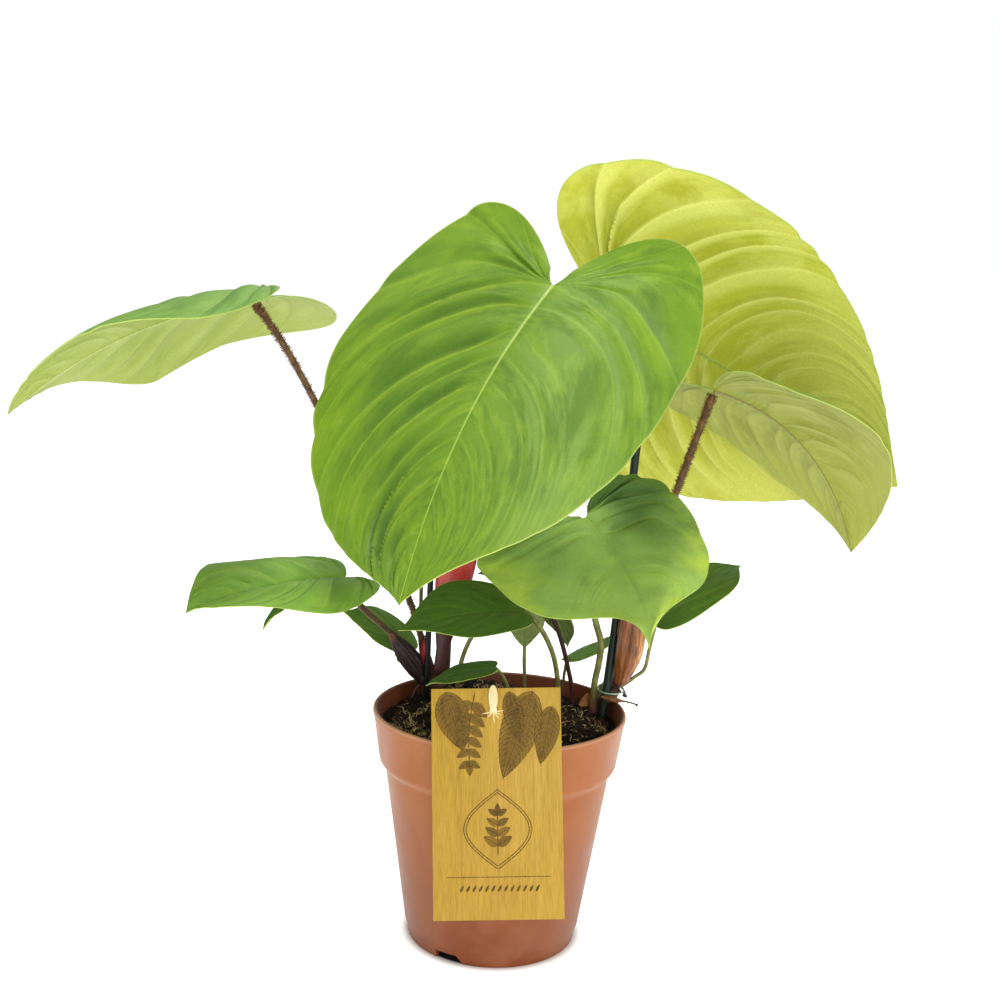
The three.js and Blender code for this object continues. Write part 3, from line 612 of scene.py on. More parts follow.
LEAVES = {
    "front": leaf_of(
        "MATURE", (16, 5, 311.5), (-125, -36, 16), 185, (78.5, 102), 41.5, 0.25, 3, 2.2,
        [(-29, 31, 116), (-27.9, 31, 123), (-27, 30, 140), (-25.5, 29, 177), (-10, 27, 245), (9, 15, 297)],
        fullness=0.8, fold=(8, -14), curl=(31, 0), lobe_droop=-28, twist=-23, sweep=-21, quilt=(1.0, 4.2),
        rib=1.5, line=0.7, lateral=11, valleys=0.95, calm=(0.75, 0.2), look="front", stalk="dark", foot=1.5,
    ),
    "back_right": leaf_of(
        "MATURE", (46.5, 92, 301.5), (-4, -22, 61), 175.5, (95, 97), 45, 0.2, 30, 2.2,
        [(47.4, 21.4, 104), (49, 23.8, 112), (54.2, 27, 121.5), (56.8, 27.5, 151), (52.5, 37, 184),
         (45, 53, 214), (42.5, 74, 258)],
        fold=(2, 3), curl=(4, 27), lobe_droop=10, twist=3, sweep=1, quilt=(2.1, 2.1), rib=1.5, line=0.6,
        lateral=15, look="glow", stalk="pale", foot=1.7,
    ),
    "right": leaf_of(
        "MATURE", (95, 20, 265.5), (20, -13, 2), 121, (58.5, 68), 13, 0.21, 63, 2,
        [(54.7, 21.2, 114.5), (59.5, 21, 132), (66, 22, 167.4), (79.2, 21.5, 212.5), (86.8, 20.5, 238.3)],
        fold=(1, 17.5), curl=(24, 29), lobe_droop=-12, twist=3, sweep=-1, quilt=(0.9, 0.9), look="dusky",
        stalk="brown", foot=1.4,
    ),
    "left": leaf_of(
        "MATURE", (-123.5, 21, 298.5), (209, -7, -1), 125, (60, 69), 44.5, 0.31, 36, 1.8,
        [(-34, 31, 118), (-38, 29, 131), (-47.6, 27, 158.9), (-91.4, 23, 247.4), (-110, 21.5, 280)],
        lobe_scale=(0.03, 1.3), fullness=0.33, fold=(30, 11), curl=(65, 69), lobe_droop=19, twist=-17,
        sweep=-2, look="pale", stalk="brown", foot=1.4,
    ),
    "mid_right": leaf_of(
        "MATURE", (36, -4, 206), (-57.5, -25.5, -25.5), 109.5, (48, 56.5), 15, 0.02, -31, 1.6,
        [(45.5, 16, 96), (45.4, 16, 107.5), (45.5, 15.5, 120.6), (47.2, 14, 133.7), (47.3, 12, 142.6),
         (43.8, 8, 154.5), (38, 2, 186)],
        fullness=0.83, tip_width=0.04, tip_length=0.47, fold=(6.7, 7.2), curl=(36, 12.7), lobe_droop=-4,
        twist=16, sweep=30, quilt=(4.2, 1.6), rib=0.9, lateral=8, line=0.1, valleys=0.6, calm=(0.94, 0.94),
        look="middle", foot=1.6,
    ),
    "low_left": leaf_of(
        "MATURE", (-75, 0.5, 171), (215, 6, -10), 81.5, (32, 45.5), 7.5, 0.27, 22, 1.8,
        [(-36.5, 28, 115), (-43, 25, 130), (-57, 17, 144), (-68.5, 8, 157)],
        fold=(18, 42), curl=(78, 73), lobe_droop=-4, twist=8, sweep=-3, quilt=(0.9, 0.9), rib=0.8, lateral=7,
        look="low", stalk="umber", foot=2.6,
    ),
    "centre": leaf_of(
        "YOUNG", (10, 4.5, 158.5), (216, 9, 29), 66.5, (15.5, 21), 1.5, 0.43, 28, 1.3,
        [(28.5, 21, 96), (28.1, 20, 117), (24.7, 14, 135), (17.5, 8, 150)], twist=4, curl=(16, 12),
    ),
    "by_card": leaf_of(
        "YOUNG", (-3, -15, 136), (183, -7, 12), 33.5, (8, 8.5), 1.5, 0.43, 22, 0.9,
        [(5, -8, 96), (3.3, -10, 124), (0.3, -13, 132)],
    ),
    "low_right": leaf_of(
        "YOUNG", (74, 24, 149), (45, 37, 3), 72, (23.5, 23), 2, 0.43, 38, 0.95,
        [(58.2, 18.2, 119.2), (64.8, 18.6, 124), (69.6, 19.5, 128), (71.7, 22, 137)],
        fold=(13, 12), twist=-5, look="bright",
    ),
    "beside_stake": leaf_of(
        "YOUNG", (-44, 38, 127.5), (204, 39, 34), 43.5, (10.5, 14.5), 2, 0.45, 21, 1,
        [(-34, 35, 114), (-38.5, 38, 121)], twist=6, look="bright",
    ),
    "grey": leaf_of(
        "YOUNG", (11, 30, 134.5), (86, 42, 2), 30.5, (9.5, 9), 0.6, 0.52, 20, 0.95,
        [(12.5, 30, 96), (12, 29.8, 114), (11.2, 29.4, 127)], fold=(10, 10), lobe_at=0.05, base=0.05,
        look="grey", stalk="pale", foot=1.0,
    ),
    "dark": leaf_of(
        "YOUNG", (22.5, 26, 157.5), (50, -52, 0), 30, (9, 9.5), 2.5, 0.4, 10, 1.2,
        [(36.8, 32, 96), (36.2, 31, 109.5), (29.3, 26, 137.8), (24, 22.8, 152)], stalk="dark", foot=1.7,
    ),
    "folded": leaf_of(
        "YOUNG", (32.5, 37.5, 126), (28, 21, 8), 34, (8, 9.5), 1.5, 0.43, 5, 0.8,
        [(31, 40, 96), (31.5, 38.5, 116)], curl=(28, 28), look="bright",
    ),
    "under_left": leaf_of(
        "YOUNG", (-89, 9, 161), (213, 2, -15), 34, (8, 9), 2, 0.42, 55, 1,
        [(-38, 31, 115), (-43, 29, 129), (-57, 21, 143), (-68.5, 12.5, 156)], fold=(12, 13), look="bright",
    ),
    "tiny": leaf_of(
        "YOUNG", (-46, 35, 120), (144, 34, 0), 10.5, (3.5, 3.5), 1, 0.42, 20, 0.6,
        [(-40, 36, 98), (-42, 35.6, 110), (-44, 35.3, 117)], look="bright", foot=1.0,
    ),
    "hidden": leaf_of(
        "YOUNG", (17, 30, 171), (192, 8, 30), 31, (10, 11), 2, 0.4, 20, 1.1,
        [(-22, 26, 96), (-19.6, 24, 127), (-13.4, 21, 143), (4, 26, 162)],
    ),
}

# Colours of a blade's two sides: base, light and dark. fresh is the plain young leaf.
GREY = ((132, 146, 90), (150, 162, 104), (108, 124, 70))
DULL_GREEN = ((140, 166, 74), (160, 182, 90), (116, 144, 58))
UPPER_LOOKS = {
    "front": ((104, 139, 34), (134, 164, 42), (66, 102, 30)),
    "glow": ((112, 150, 42), (140, 170, 52), (80, 118, 34)),
    "dusky": ((98, 138, 46), (124, 158, 56), (70, 108, 36)),
    "pale": ((110, 150, 62), (136, 170, 80), (84, 124, 50)),
    # The middle look is raised above the leaf's own green as painted light, since that leaf lies in the shade
    # of the front one.
    "middle": ((164, 200, 106), (192, 216, 78), (62, 92, 36)),
    "grey": GREY,
    "low": ((116, 158, 58), (134, 170, 66), (90, 130, 48)),
    "bright": ((80, 116, 40), (100, 138, 48), (56, 92, 30)),
    "fresh": ((66, 97, 32), (80, 114, 40), (48, 78, 26)),
}
UNDER_LOOKS = {
    "front": DULL_GREEN,
    # The glow look's under colours are raised as painted light, for the light that shines through the back
    # right leaf.
    "glow": ((182, 186, 54), (216, 220, 108), (158, 160, 40)),
    "dusky": ((150, 158, 62), (176, 184, 86), (122, 130, 48)),
    "pale": ((160, 172, 86), (178, 190, 106), (136, 156, 68)),
    "middle": DULL_GREEN,
    "grey": GREY,
    "low": DULL_GREEN,
    "bright": ((124, 146, 62), (146, 166, 80), (100, 124, 48)),
    "fresh": ((104, 126, 60), (124, 144, 78), (84, 106, 48)),
}
PALE_LOOKS = ("glow", "dusky", "pale")
BULGE_MIDDLE = 0.6  # the height of a bulge that lies on the smooth sheet


def step(low, high, value):
    """Goes smoothly from 0 at low to 1 at high."""
    share = min(1.0, max(0.0, (value - low) / (high - low)))
    return share * share * (3 - 2 * share)


def bezier(a, b, c, d, t):
    s = 1 - t
    return tuple(
        s * s * s * a[k] + 3 * s * s * t * b[k] + 3 * s * t * t * c[k] + t * t * t * d[k] for k in (0, 1)
    )


def half_of(side):
    """0 for the left half of a blade and 1 for its right half."""
    return 0 if side < 0 else 1


def margin_point(leaf, half, lobe, t):
    """The flat margin of one half blade, from the stalk round the lobe to the widest place and the tip."""
    widest_at = leaf["widest"] * leaf["length"]
    front = leaf["length"] - widest_at
    rear = (leaf["lobe_at"] * half, -lobe)
    widest = (half, widest_at)
    if t < LOBE_SHARE:
        return bezier((0, 0), (0.1 * half, -0.45 * lobe), (rear[0] * 0.6, -lobe), rear, t / LOBE_SHARE)
    if t < WIDEST_SHARE:
        outer = (rear[0] + leaf["base"] * (half - rear[0]), -lobe)
        side = (half, widest_at - 0.55 * (widest_at + lobe))
        return bezier(rear, outer, side, widest, (t - LOBE_SHARE) / (WIDEST_SHARE - LOBE_SHARE))
    shoulder = (half, widest_at + leaf["fullness"] * front)
    drip = (leaf["tip_width"] * half, leaf["length"] - leaf["tip_length"] * front)
    return bezier(widest, shoulder, drip, (0, leaf["length"]), (t - WIDEST_SHARE) / (1 - WIDEST_SHARE))


def flat_point(leaf, side, row, share):
    """A point of the flat blade: how far it is from the midrib and along it."""
    which = half_of(side)
    edge_x, edge_y = margin_point(leaf, leaf["half"][which], leaf["lobe"] * leaf["lobe_scale"][which], row)
    start = leaf["length"] * max(0, (row - FAN_SHARE) / (1 - FAN_SHARE))
    bow_x = 0.55 * edge_x
    bow_y = start + 0.3 * (edge_y - start)
    across = 2 * (1 - share) * share * bow_x + share * share * edge_x
    along = (1 - share) ** 2 * start + 2 * (1 - share) * share * bow_y + share * share * edge_y
    return across, along


def leaf_frame(leaf):
    heading, rise, roll = (math.radians(leaf[key]) for key in ("heading", "rise", "roll"))
    forward = Vector((math.cos(rise) * math.cos(heading), math.cos(rise) * math.sin(heading), math.sin(rise)))
    level = Vector((math.sin(heading), -math.cos(heading), 0))
    above = level.cross(forward)
    right = level * math.cos(roll) + above * math.sin(roll)
    up = above * math.cos(roll) - level * math.sin(roll)
    return right, forward, up


def bent_point(leaf, axes, side, across, along, height=0.0):
    """Bends a flat point of the blade as the CAD model does. height lifts it off the sheet."""
    which = half_of(side)
    length = leaf["length"]
    ahead = max(along, 0)
    droop = leaf["droop"] / length if along >= 0 else leaf["lobe_droop"] / leaf["lobe"]
    rate = math.radians(droop) + 1e-9
    slope = rate * along
    rib_y = math.sin(slope) / rate
    rib_z = -(1 - math.cos(slope)) / rate
    lift = math.radians(leaf["fold"][which] - leaf["curl"][which] * across / (2 * leaf["half"][which]))
    twist = math.radians(leaf["twist"]) * ahead / length
    flat_x = side * (across * math.cos(lift) - height * math.sin(lift))
    flat_z = across * math.sin(lift) + height * math.cos(lift)
    sideways = math.radians(leaf["sweep"]) * length * (ahead / length) ** 2 / 2
    x = flat_x * math.cos(twist) - flat_z * math.sin(twist) + sideways
    z = flat_x * math.sin(twist) + flat_z * math.cos(twist)
    right, forward, up = axes
    place = right * x + forward * (rib_y + z * math.sin(slope)) + up * (rib_z + z * math.cos(slope))
    return Vector(leaf["seat"]) + place


def vein_phase(leaf, side, row, share):
    """Counts the lateral veins, which arch towards the tip. A vein lies at each whole number."""
    bow = ARCH * (0.4 * share + 0.6 * share * share) + 1e-6
    start = ((1 + bow) - math.sqrt((1 + bow) ** 2 - 4 * bow * row)) / (2 * bow)
    if start < FAN_SHARE:
        phase = leaf["basal"] * start / FAN_SHARE
    else:
        phase = leaf["basal"] + leaf["lateral"] * (start - FAN_SHARE) / (1 - FAN_SHARE)
    wander = 0.2 * math.sin(2.3 * phase + leaf["length"]) + 0.16 * side
    wander += 0.35 * noise.noise(Vector((0.5 * phase, 1.6 * share, 3.0 * side + leaf["length"])))
    return phase + wander * step(0.0, 0.2, share)


def bulge_at(phase):
    """The rounded bulge between two veins, steeper towards the tip. 0 is at a vein."""
    turn = (phase % 1) ** 1.5
    return math.sin(math.pi * turn) ** 0.8


def fold_strength(leaf, side, row, share, phase):
    """How strong the folds are here. They fade at the midrib, the margin and the tip, and vary by vein."""
    grown = step(0.0, 0.5, share) if row < FAN_SHARE + 0.05 else step(0.0, 0.2, share)
    fade = grown * (1 - 0.5 * step(0.75, 1.0, share)) * step(0.0, 0.14, 1 - row)
    calm = 1 - leaf["calm"][half_of(side)] * step(0.34, 0.62, row)
    fade *= calm * (0.2 + 0.8 * step(0.06, 0.3, row))
    return fade * max(0.1, 1 + 1.5 * noise.noise(Vector((phase * 0.75, share * 2.0, leaf["length"] + side))))


def quilt_height(leaf, side, row, share, phase, relief):
    """How far the blade stands off its smooth sheet: folds between the veins, slow swells and a wavy rim."""
    wave = leaf["ruffle"] * share ** 4 * math.sin(17.0 * row + 2.6 * side + leaf["length"])
    swell = 0.5 * leaf["quilt"][0] * noise.noise(Vector((3.0 * row, 2.0 * share * side, leaf["length"])))
    quilt = leaf["quilt"][half_of(side)] * fold_strength(leaf, side, row, share, phase)
    bulge = relief * quilt * (bulge_at(phase) - BULGE_MIDDLE)
    return bulge + (wave + swell * step(0.0, 0.3, share)) * step(0.0, 0.1, 1 - row)


def channel_depth(leaf, across, along):
    """The groove along the upper side of the midrib."""
    ahead = max(0, along)
    width = 1.6 * leaf["rib"] * (1 - 0.6 * ahead / leaf["length"])
    return 0.55 * leaf["rib"] * math.exp(-((across / width) ** 2)) * (1 - 0.8 * ahead / leaf["length"])


def make_blade(name, leaf, settings):
    """A grid, moved to the blade's outline and bends, welded at the seat and the tip, with a thickness."""
    deselect()
    columns, rows = 2 * BLADE_COLUMNS[leaf["kind"]], BLADE_ROWS[leaf["kind"]]
    bpy.ops.mesh.primitive_grid_add(x_subdivisions=columns, y_subdivisions=rows, size=2, calc_uvs=False)
    blade = bpy.context.object
    mesh = blade.data
    axes = leaf_frame(leaf)
    places = []
    for vertex in mesh.vertices:
        side = -1 if vertex.co.x < 0 else 1
        share = abs(vertex.co.x) ** CROWDING
        row = SINUS_START + (1 - SINUS_START) * (vertex.co.y + 1) / 2
        across, along = flat_point(leaf, side, row, share)
        phase = vein_phase(leaf, side, row, share)
        height = quilt_height(leaf, side, row, share, phase, settings.relief)
        height -= channel_depth(leaf, across, along)
        scallop = leaf["scallop"] * (bulge_at(phase) - BULGE_MIDDLE) * step(0.8, 1.0, share)
        across *= 1 + scallop * step(0.0, 0.2, 1 - row)
        strength = fold_strength(leaf, side, row, share, phase)
        strength *= (leaf["quilt"][half_of(side)] / max(leaf["quilt"])) ** 0.6
        places.append((phase, share, side * across / UV_UNIT, along / UV_UNIT, strength, row))
        vertex.co = bent_point(leaf, axes, side, across, along, height) * MM
    for label, first in (("Blade", 0), ("Flat", 2), ("Fold", 4)):
        layer = mesh.uv_layers.new(name=label)
        for loop in mesh.loops:
            layer.data[loop.index].uv = places[loop.vertex_index][first:first + 2]
    bpy.ops.object.mode_set(mode="EDIT")
    bpy.ops.mesh.select_all(action="SELECT")
    bpy.ops.mesh.remove_doubles(threshold=1e-5)
    bpy.ops.object.mode_set(mode="OBJECT")
    for material in blade_materials(name, leaf, settings):
        mesh.materials.append(material)
    apply_modifier(
        blade, "SOLIDIFY", thickness=settings.thickness, offset=0.0, material_offset=1, material_offset_rim=2
    )
    smooth(blade, 60)
    slot = {"MATURE": "mature_blade", "YOUNG": "young_blade"}[leaf["kind"]]
    slot = "pale_blade" if leaf["look"] in PALE_LOOKS else slot
    return finish_piece(blade, f"{name}_blade", slot, [], f"leaf_{name}_blade")


# How far a blade's own marks show: even clouds, painted shade on its upper part, and a light rim and tip
NO_MARKS = {"Calm": 0.0, "Top": 0.0, "Rim": 0.0, "Tip": 0.0}
MARKS = {"front": {**NO_MARKS, "Rim": 0.25}, "middle": {"Calm": 1.0, "Top": 0.95, "Rim": 0.95, "Tip": 0.3}}
UNDER_MARKS = {"glow": {**NO_MARKS, "Rim": 0.5, "Tip": 0.85}, "dusky": {**NO_MARKS, "Tip": 0.6}}
# How far the veins, the painted shade in the valleys and the painted light between the veins show on an under
# side
UNDER_VEINS = {"glow": (0.32, 0.6, 0.9), "dusky": (0.2, 0.3, 0.4), "pale": (0.22, 0.4, 0.5)}
PLAIN_UNDER_VEINS = (0.4, 0.45, 0.75)


def blade_materials(name, leaf, settings):
    """The upper side, the under side and the margin."""
    look = leaf["look"]
    mature = leaf["kind"] == "MATURE"
    upper_vein = settings.vein if mature else tone(112, 144, 58)
    mottled = mature and look != "middle"
    upper = blade_material(
        f"{name}_upper", *UPPER_LOOKS[look], upper_vein, settings.margin, leaf,
        veins=0.11 if mature else 0.05, valleys=leaf["valleys"], glow=0.55, line=leaf["line"], relief=0.3,
        marks=MARKS.get(look, NO_MARKS), mottling=0.5 if mottled else 0.2,
    )
    # The glow look's pale under veins are partly their own colour and partly painted light through the leaf.
    under_vein = {"glow": tone(222, 222, 120), "dusky": tone(98, 100, 44), "pale": tone(128, 146, 60)}
    under = blade_material(
        f"{name}_under", *UNDER_LOOKS[look], under_vein.get(look, tone(160, 180, 88)), settings.margin, leaf,
        *UNDER_VEINS.get(look, PLAIN_UNDER_VEINS), line=0.5, relief=0.25,
        marks=UNDER_MARKS.get(look, NO_MARKS), mottling=0.4,
    )
    margin, graph, shader = new_material(f"{name}_margin", Roughness=0.5)
    tint = graph.noise(graph.place(), 300.0)
    edge = graph.mix(tint, rgba(settings.margin), rgba(settings.vein))
    graph.feed(shader.inputs["Base Color"], edge)
    return upper, under, margin


def make_rib(name, leaf):
    """The midrib that stands out under a blade, thinning towards the tip."""
    axes = leaf_frame(leaf)
    length = leaf["length"]
    places = []
    for i in range(RIB_STEPS + 1):
        along = length * (RIB_SHARE * i / RIB_STEPS)
        drop = channel_depth(leaf, 0.0, along) + 0.25 * leaf["rib"]
        places.append(bent_point(leaf, axes, 1, 0.0, along, -drop))

    def radius_at(share):
        return leaf["rib"] * (0.6 - 0.5 * share) + 0.5 * (1 - step(0.0, 0.12, share))

    rib = tube(places, radius_at, 2)
    slot = "pale_blade" if leaf["look"] in PALE_LOOKS else "mature_blade"
    return finish_piece(rib, f"{name}_rib", slot, [stalk_material("rib_" + leaf["look"])])


# Stalks


def stalk_material(style):
    return kept(bpy.data.materials, f"stalk_{style}", lambda: make_stalk_material(style))


def make_stalk_material(style):
    """A stalk's or a rib's finish: base, streaks, foot and its two levels, grain, relief and blotches."""
    settings = bpy.context.scene.plant_stalks
    maroon = tuple(settings.foot)
    looks = {
        "brown": (tuple(settings.brown), tone(66, 42, 20), maroon, 116, 150, 1500.0, 0.8,
                  tone(124, 88, 42)),
        "umber": (tone(72, 56, 32), tone(54, 42, 24), tone(44, 22, 18), 116, 150, 1100.0, 0.5,
                  tone(94, 72, 40)),
        "scales": (tone(92, 60, 28), tone(134, 94, 50), maroon, 100, 101, 2500.0, 0.3, None),
        "olive": (tuple(settings.olive), tone(86, 92, 44), maroon, 104, 126, 900.0, 0.3,
                  tone(136, 138, 72)),
        "pale": (tone(150, 160, 84), tone(122, 134, 66), tone(92, 84, 40), 104, 150, 900.0, 0.3, None),
        "dark": (tuple(settings.dark), tone(58, 60, 38), maroon, 108, 150, 900.0, 0.4, tone(66, 40, 30)),
        "rib_front": (tone(168, 190, 96), tone(150, 176, 84), maroon, 0, 1, 800.0, 0.2, None),
        "rib_glow": (tone(150, 168, 62), tone(176, 186, 82), maroon, 0, 1, 800.0, 0.2, None),
        "rib_dusky": (tone(150, 142, 84), tone(128, 114, 66), maroon, 0, 1, 800.0, 0.2, None),
        "rib_pale": (tone(196, 204, 130), tone(172, 182, 104), maroon, 0, 1, 800.0, 0.2, None),
    }
    looks["rib_middle"] = looks["rib_low"] = looks["rib_front"]
    return fibre_material(f"stalk_{style}", *looks[style])


STALK_SLOTS = {"brown": "brown_stalk", "umber": "brown_stalk", "dark": "dark_stalk"}
SCALED_RADIUS = 0.84  # share of a brown stalk's radius that is left under its scales


def stalk_radius(leaf):
    """Thick at its foot, even along its middle and a little thicker in the joint under the blade."""
    def radius_at(share):
        foot = 1 + (leaf["foot"] - 1) * (1 - step(0.0, 0.3, share))
        joint = 1 + 0.16 * step(0.9, 0.95, share) - 0.45 * step(0.985, 1.0, share)
        return leaf["radius"] * foot * joint * (SCALED_RADIUS if leaf["stalk"] in ("brown", "umber") else 1)
    return radius_at


def make_stalk(name, leaf):
    mature = leaf["kind"] == "MATURE"
    places = route([*leaf["path"], leaf["seat"]], 48 if mature else 24)
    sunk = leaf_frame(leaf)[2] * leaf["radius"] * (1.1 if mature else 0.5)
    for place, share in zip(places[-4:], (0.15, 0.4, 0.7, 1.0)):
        place -= sunk * share
    stalk = tube(places, stalk_radius(leaf), 3 if mature else 2)
    roughen(stalk, 0.25 if leaf["stalk"] == "brown" else 0.1, 2.2)
    slot = STALK_SLOTS.get(leaf["stalk"], "green_stalk")
    return finish_piece(stalk, f"{name}_stalk", slot, [stalk_material(leaf["stalk"])], f"leaf_{name}_stalk")


SCALE_STEPS = 200


def make_scales(name, leaf, settings):
    """Short scales that stand off a brown stalk, modelled once and copied along it."""
    deselect()
    length = settings.scale_length
    bpy.ops.mesh.primitive_cone_add(vertices=4, radius1=0.24 * MM, radius2=0.03 * MM, depth=length)
    scale = bpy.context.object
    bpy.ops.object.mode_set(mode="EDIT")
    bpy.ops.mesh.select_all(action="SELECT")
    bpy.ops.transform.translate(value=(0, 0, length * 0.3))
    bpy.ops.transform.resize(value=(1.0, 0.5, 1.0), center_override=(0, 0, 0))
    bpy.ops.object.mode_set(mode="OBJECT")
    places = route([*leaf["path"], leaf["seat"]], SCALE_STEPS)
    radius_at = stalk_radius(leaf)
    draw = random.Random(leaf["length"])
    matrices = []
    for _ in range(settings.scales):
        share = 0.985 - 0.8 * draw.random() ** 1.3
        index = min(int(share * SCALE_STEPS), SCALE_STEPS - 1)
        along = (places[index + 1] - places[index]).normalized()
        spoke = along.orthogonal().normalized()
        spoke.rotate(Matrix.Rotation(draw.uniform(0, 2 * math.pi), 3, along))
        lean = (spoke + along * draw.uniform(-0.2, 0.7)).normalized()
        turn = Vector((0, 0, 1)).rotation_difference(lean).to_matrix().to_4x4()
        place = (places[index] + spoke * radius_at(share) * 0.94) * MM
        matrices.append(Matrix.Translation(place) @ turn @ Matrix.Scale(draw.uniform(0.5, 1.25), 4))
    scales = copies_of(scale, matrices)
    return finish_piece(scales, f"{name}_scales", "brown_stalk", [stalk_material("scales")])


# Sheaths


def make_sheath(name, sheath, material, slot, *nodes):
    """A sphere drawn out into a pointed, rolled sheath with ribs and one free edge."""
    deselect()
    bpy.ops.mesh.primitive_uv_sphere_add(segments=64, ring_count=56, radius=1, calc_uvs=False)
    piece = bpy.context.object
    foot, top = Vector(sheath["foot"]), Vector(sheath["top"])
    length = (top - foot).length
    along = (top - foot).normalized()
    turn = Vector((0, 1, 0)).rotation_difference(along)
    power = math.log(0.5) / math.log(sheath["widest"])
    for vertex in piece.data.vertices:
        x, y, z = vertex.co
        share = 1 - math.acos(max(-1, min(1, z))) / math.pi
        angle = math.atan2(y, x)
        radius = sheath["radius"] * max(0, math.sin(math.pi * share ** power)) ** 0.8
        floor = sheath["neck"] * step(0.0, 0.03, share) * (1 - step(0.25, sheath["widest"] + 0.3, share))
        radius = max(radius, floor)
        edge = (angle / (2 * math.pi) + 0.25 + 0.1 * share + sheath["edge"]) % 1
        lip = sheath["lip"] * (1 - edge) ** 2 * math.sin(math.pi * share)
        ribs = sheath["ribs"] * math.cos(sheath["rib_count"] * angle) * math.sin(math.pi * share)
        around = Vector((2.2 * math.cos(angle), 2.2 * math.sin(angle), 2.5 * share + sheath["radius"]))
        radius = radius * (1 + ribs + sheath["folds"] * noise.noise(around)) + lip
        across = radius * math.cos(angle) + sheath["bow"] * 4 * share * (1 - share)
        local = Vector((across, share * length, radius * math.sin(angle) * sheath["flat"]))
        local.rotate(turn)
        vertex.co = (foot + local) * MM
    smooth(tidy_mesh(piece), 60)
    return finish_piece(piece, name, slot, [material], *nodes)


SHEATH = {"lip": 0.7, "edge": 0.0, "ribs": 0.025, "rib_count": 15, "bow": 0, "folds": 0.04}
RED_SHEATH = {
    **SHEATH, "foot": (-31.2, 24, 117.5), "top": (-17, 19, 226), "radius": 9, "widest": 0.6, "neck": 2.6,
    "flat": 0.42, "lip": 1.0, "edge": 0.3,
}
ORANGE_SHEATH = {
    **SHEATH, "foot": (57.8, 14.2, 120.4), "top": (62, 11, 184), "radius": 6.2, "widest": 0.4, "neck": 3,
    "flat": 0.8, "bow": 2.6, "lip": 1.1, "edge": 0.15, "ribs": 0.035, "rib_count": 9, "folds": 0.22,
}
SMALL_SHEATH = {
    **SHEATH, "foot": (41.2, 27, 98), "top": (43.2, 26.5, 113), "radius": 3.4, "widest": 0.42, "neck": 1,
    "flat": 0.5, "lip": 0.5, "folds": 0.1,
}
DRY_SHEATH = {
    **SHEATH, "foot": (48.6, 11, 116), "top": (60.5, 9, 114.4), "radius": 2.1, "widest": 0.42, "neck": 0.9,
    "flat": 0.55, "lip": 0.5, "ribs": 0.05, "rib_count": 7, "folds": 0.25,
}
DRY_SPIKE = [(56, 9.7, 115), (60, 9.1, 114.7), (63.5, 8.4, 114.2), (66.3, 8, 113.3)]
CLASP_SHEATH = {
    **SHEATH, "foot": (-37.5, 25.5, 115), "top": (-56, 17.5, 143.5), "radius": 4.7, "widest": 0.42, "neck": 3,
    "flat": 0.75, "ribs": 0.04, "rib_count": 9, "folds": 0.2,
}
BUD_SHEATH = {
    **SHEATH, "foot": (-38, 24.5, 124), "top": (-37.2, 24, 139), "radius": 2.4, "widest": 0.5, "neck": 1.2,
    "flat": 0.7, "folds": 0.1,
}


def sheath_material(name, left, middle, right, split, foot, low, high, blotch, crease=0.4, left_from=0):
    """A sheath that changes colour across its width, at the two places in split, and darkens at its foot."""
    material, graph, shader = new_material(
        name, Specular_IOR_Level=0.5, Coat_Weight=0.25, Coat_Roughness=0.22
    )
    place = graph.place()
    group = kept(bpy.data.node_groups, "Plant fibre", fibre_group)
    fibre = use_group(graph, group, Place=place, Scale=700.0)
    wander = graph.times(graph.math("SUBTRACT", graph.noise(place, 120.0), 0.5), 0.01)
    parts = graph.parts(place)
    x = graph.math("ADD", parts[0], wander)
    (left_low, left_high), (right_low, right_high) = split
    colour = graph.mix(graph.band(x, right_low * MM, right_high * MM), rgba(middle), rgba(right))
    side = graph.band(x, left_low * MM, left_high * MM, 1.0, 0.0)
    side = graph.times(side, graph.band(parts[2], (left_from - 5) * MM, (left_from + 5) * MM))
    colour = graph.mix(side, colour, rgba(left))
    colour = graph.mix(graph.times(fibre["Streaks"], crease), colour, rgba(blotch))
    level = graph.band(graph.math("ADD", parts[2], wander), low * MM, high * MM, 1.0, 0.0)
    colour = graph.mix(level, colour, rgba(foot))
    relief = graph.bump(fibre["Height"], 0.8, 0.0006)
    graph.fill(shader, Base_Color=colour, Roughness=fibre["Roughness"], Normal=relief)
    return material


# Soil


SOIL_RADIUS = 0.0566  # where the peat meets the pot's wall
SOIL_FOOT = ((0.0546, 0.0922), (0.0511, 0.0848), (0.0401, 0.0059))  # radius and level, down inside the pot
MOUND = {"x": -0.014, "y": 0.04, "height": 0.0042, "reach": 0.022}  # behind the left stem
LOOSE_RADIUS = 0.0455  # long pieces of loose soil may lie this far out
MOSS_SEED = 40


def peat_height(settings, x, y):
    """Height of the peat's surface at a place in metres."""
    radius = math.hypot(x, y)
    rise = 1 - step(0.022, 0.056, radius)
    level = settings.edge + (settings.crown - settings.edge) * rise
    away = (x - MOUND["x"]) ** 2 + (y - MOUND["y"]) ** 2
    level += MOUND["height"] * math.exp(-away / MOUND["reach"] ** 2)
    place = Vector((x, y, 0.0))
    lumps = 0.0018 * noise.noise(place / 0.013) + 0.0012 * noise.noise(place / 0.005)
    return level + lumps * (1 - 0.6 * step(0.05, 0.057, radius))


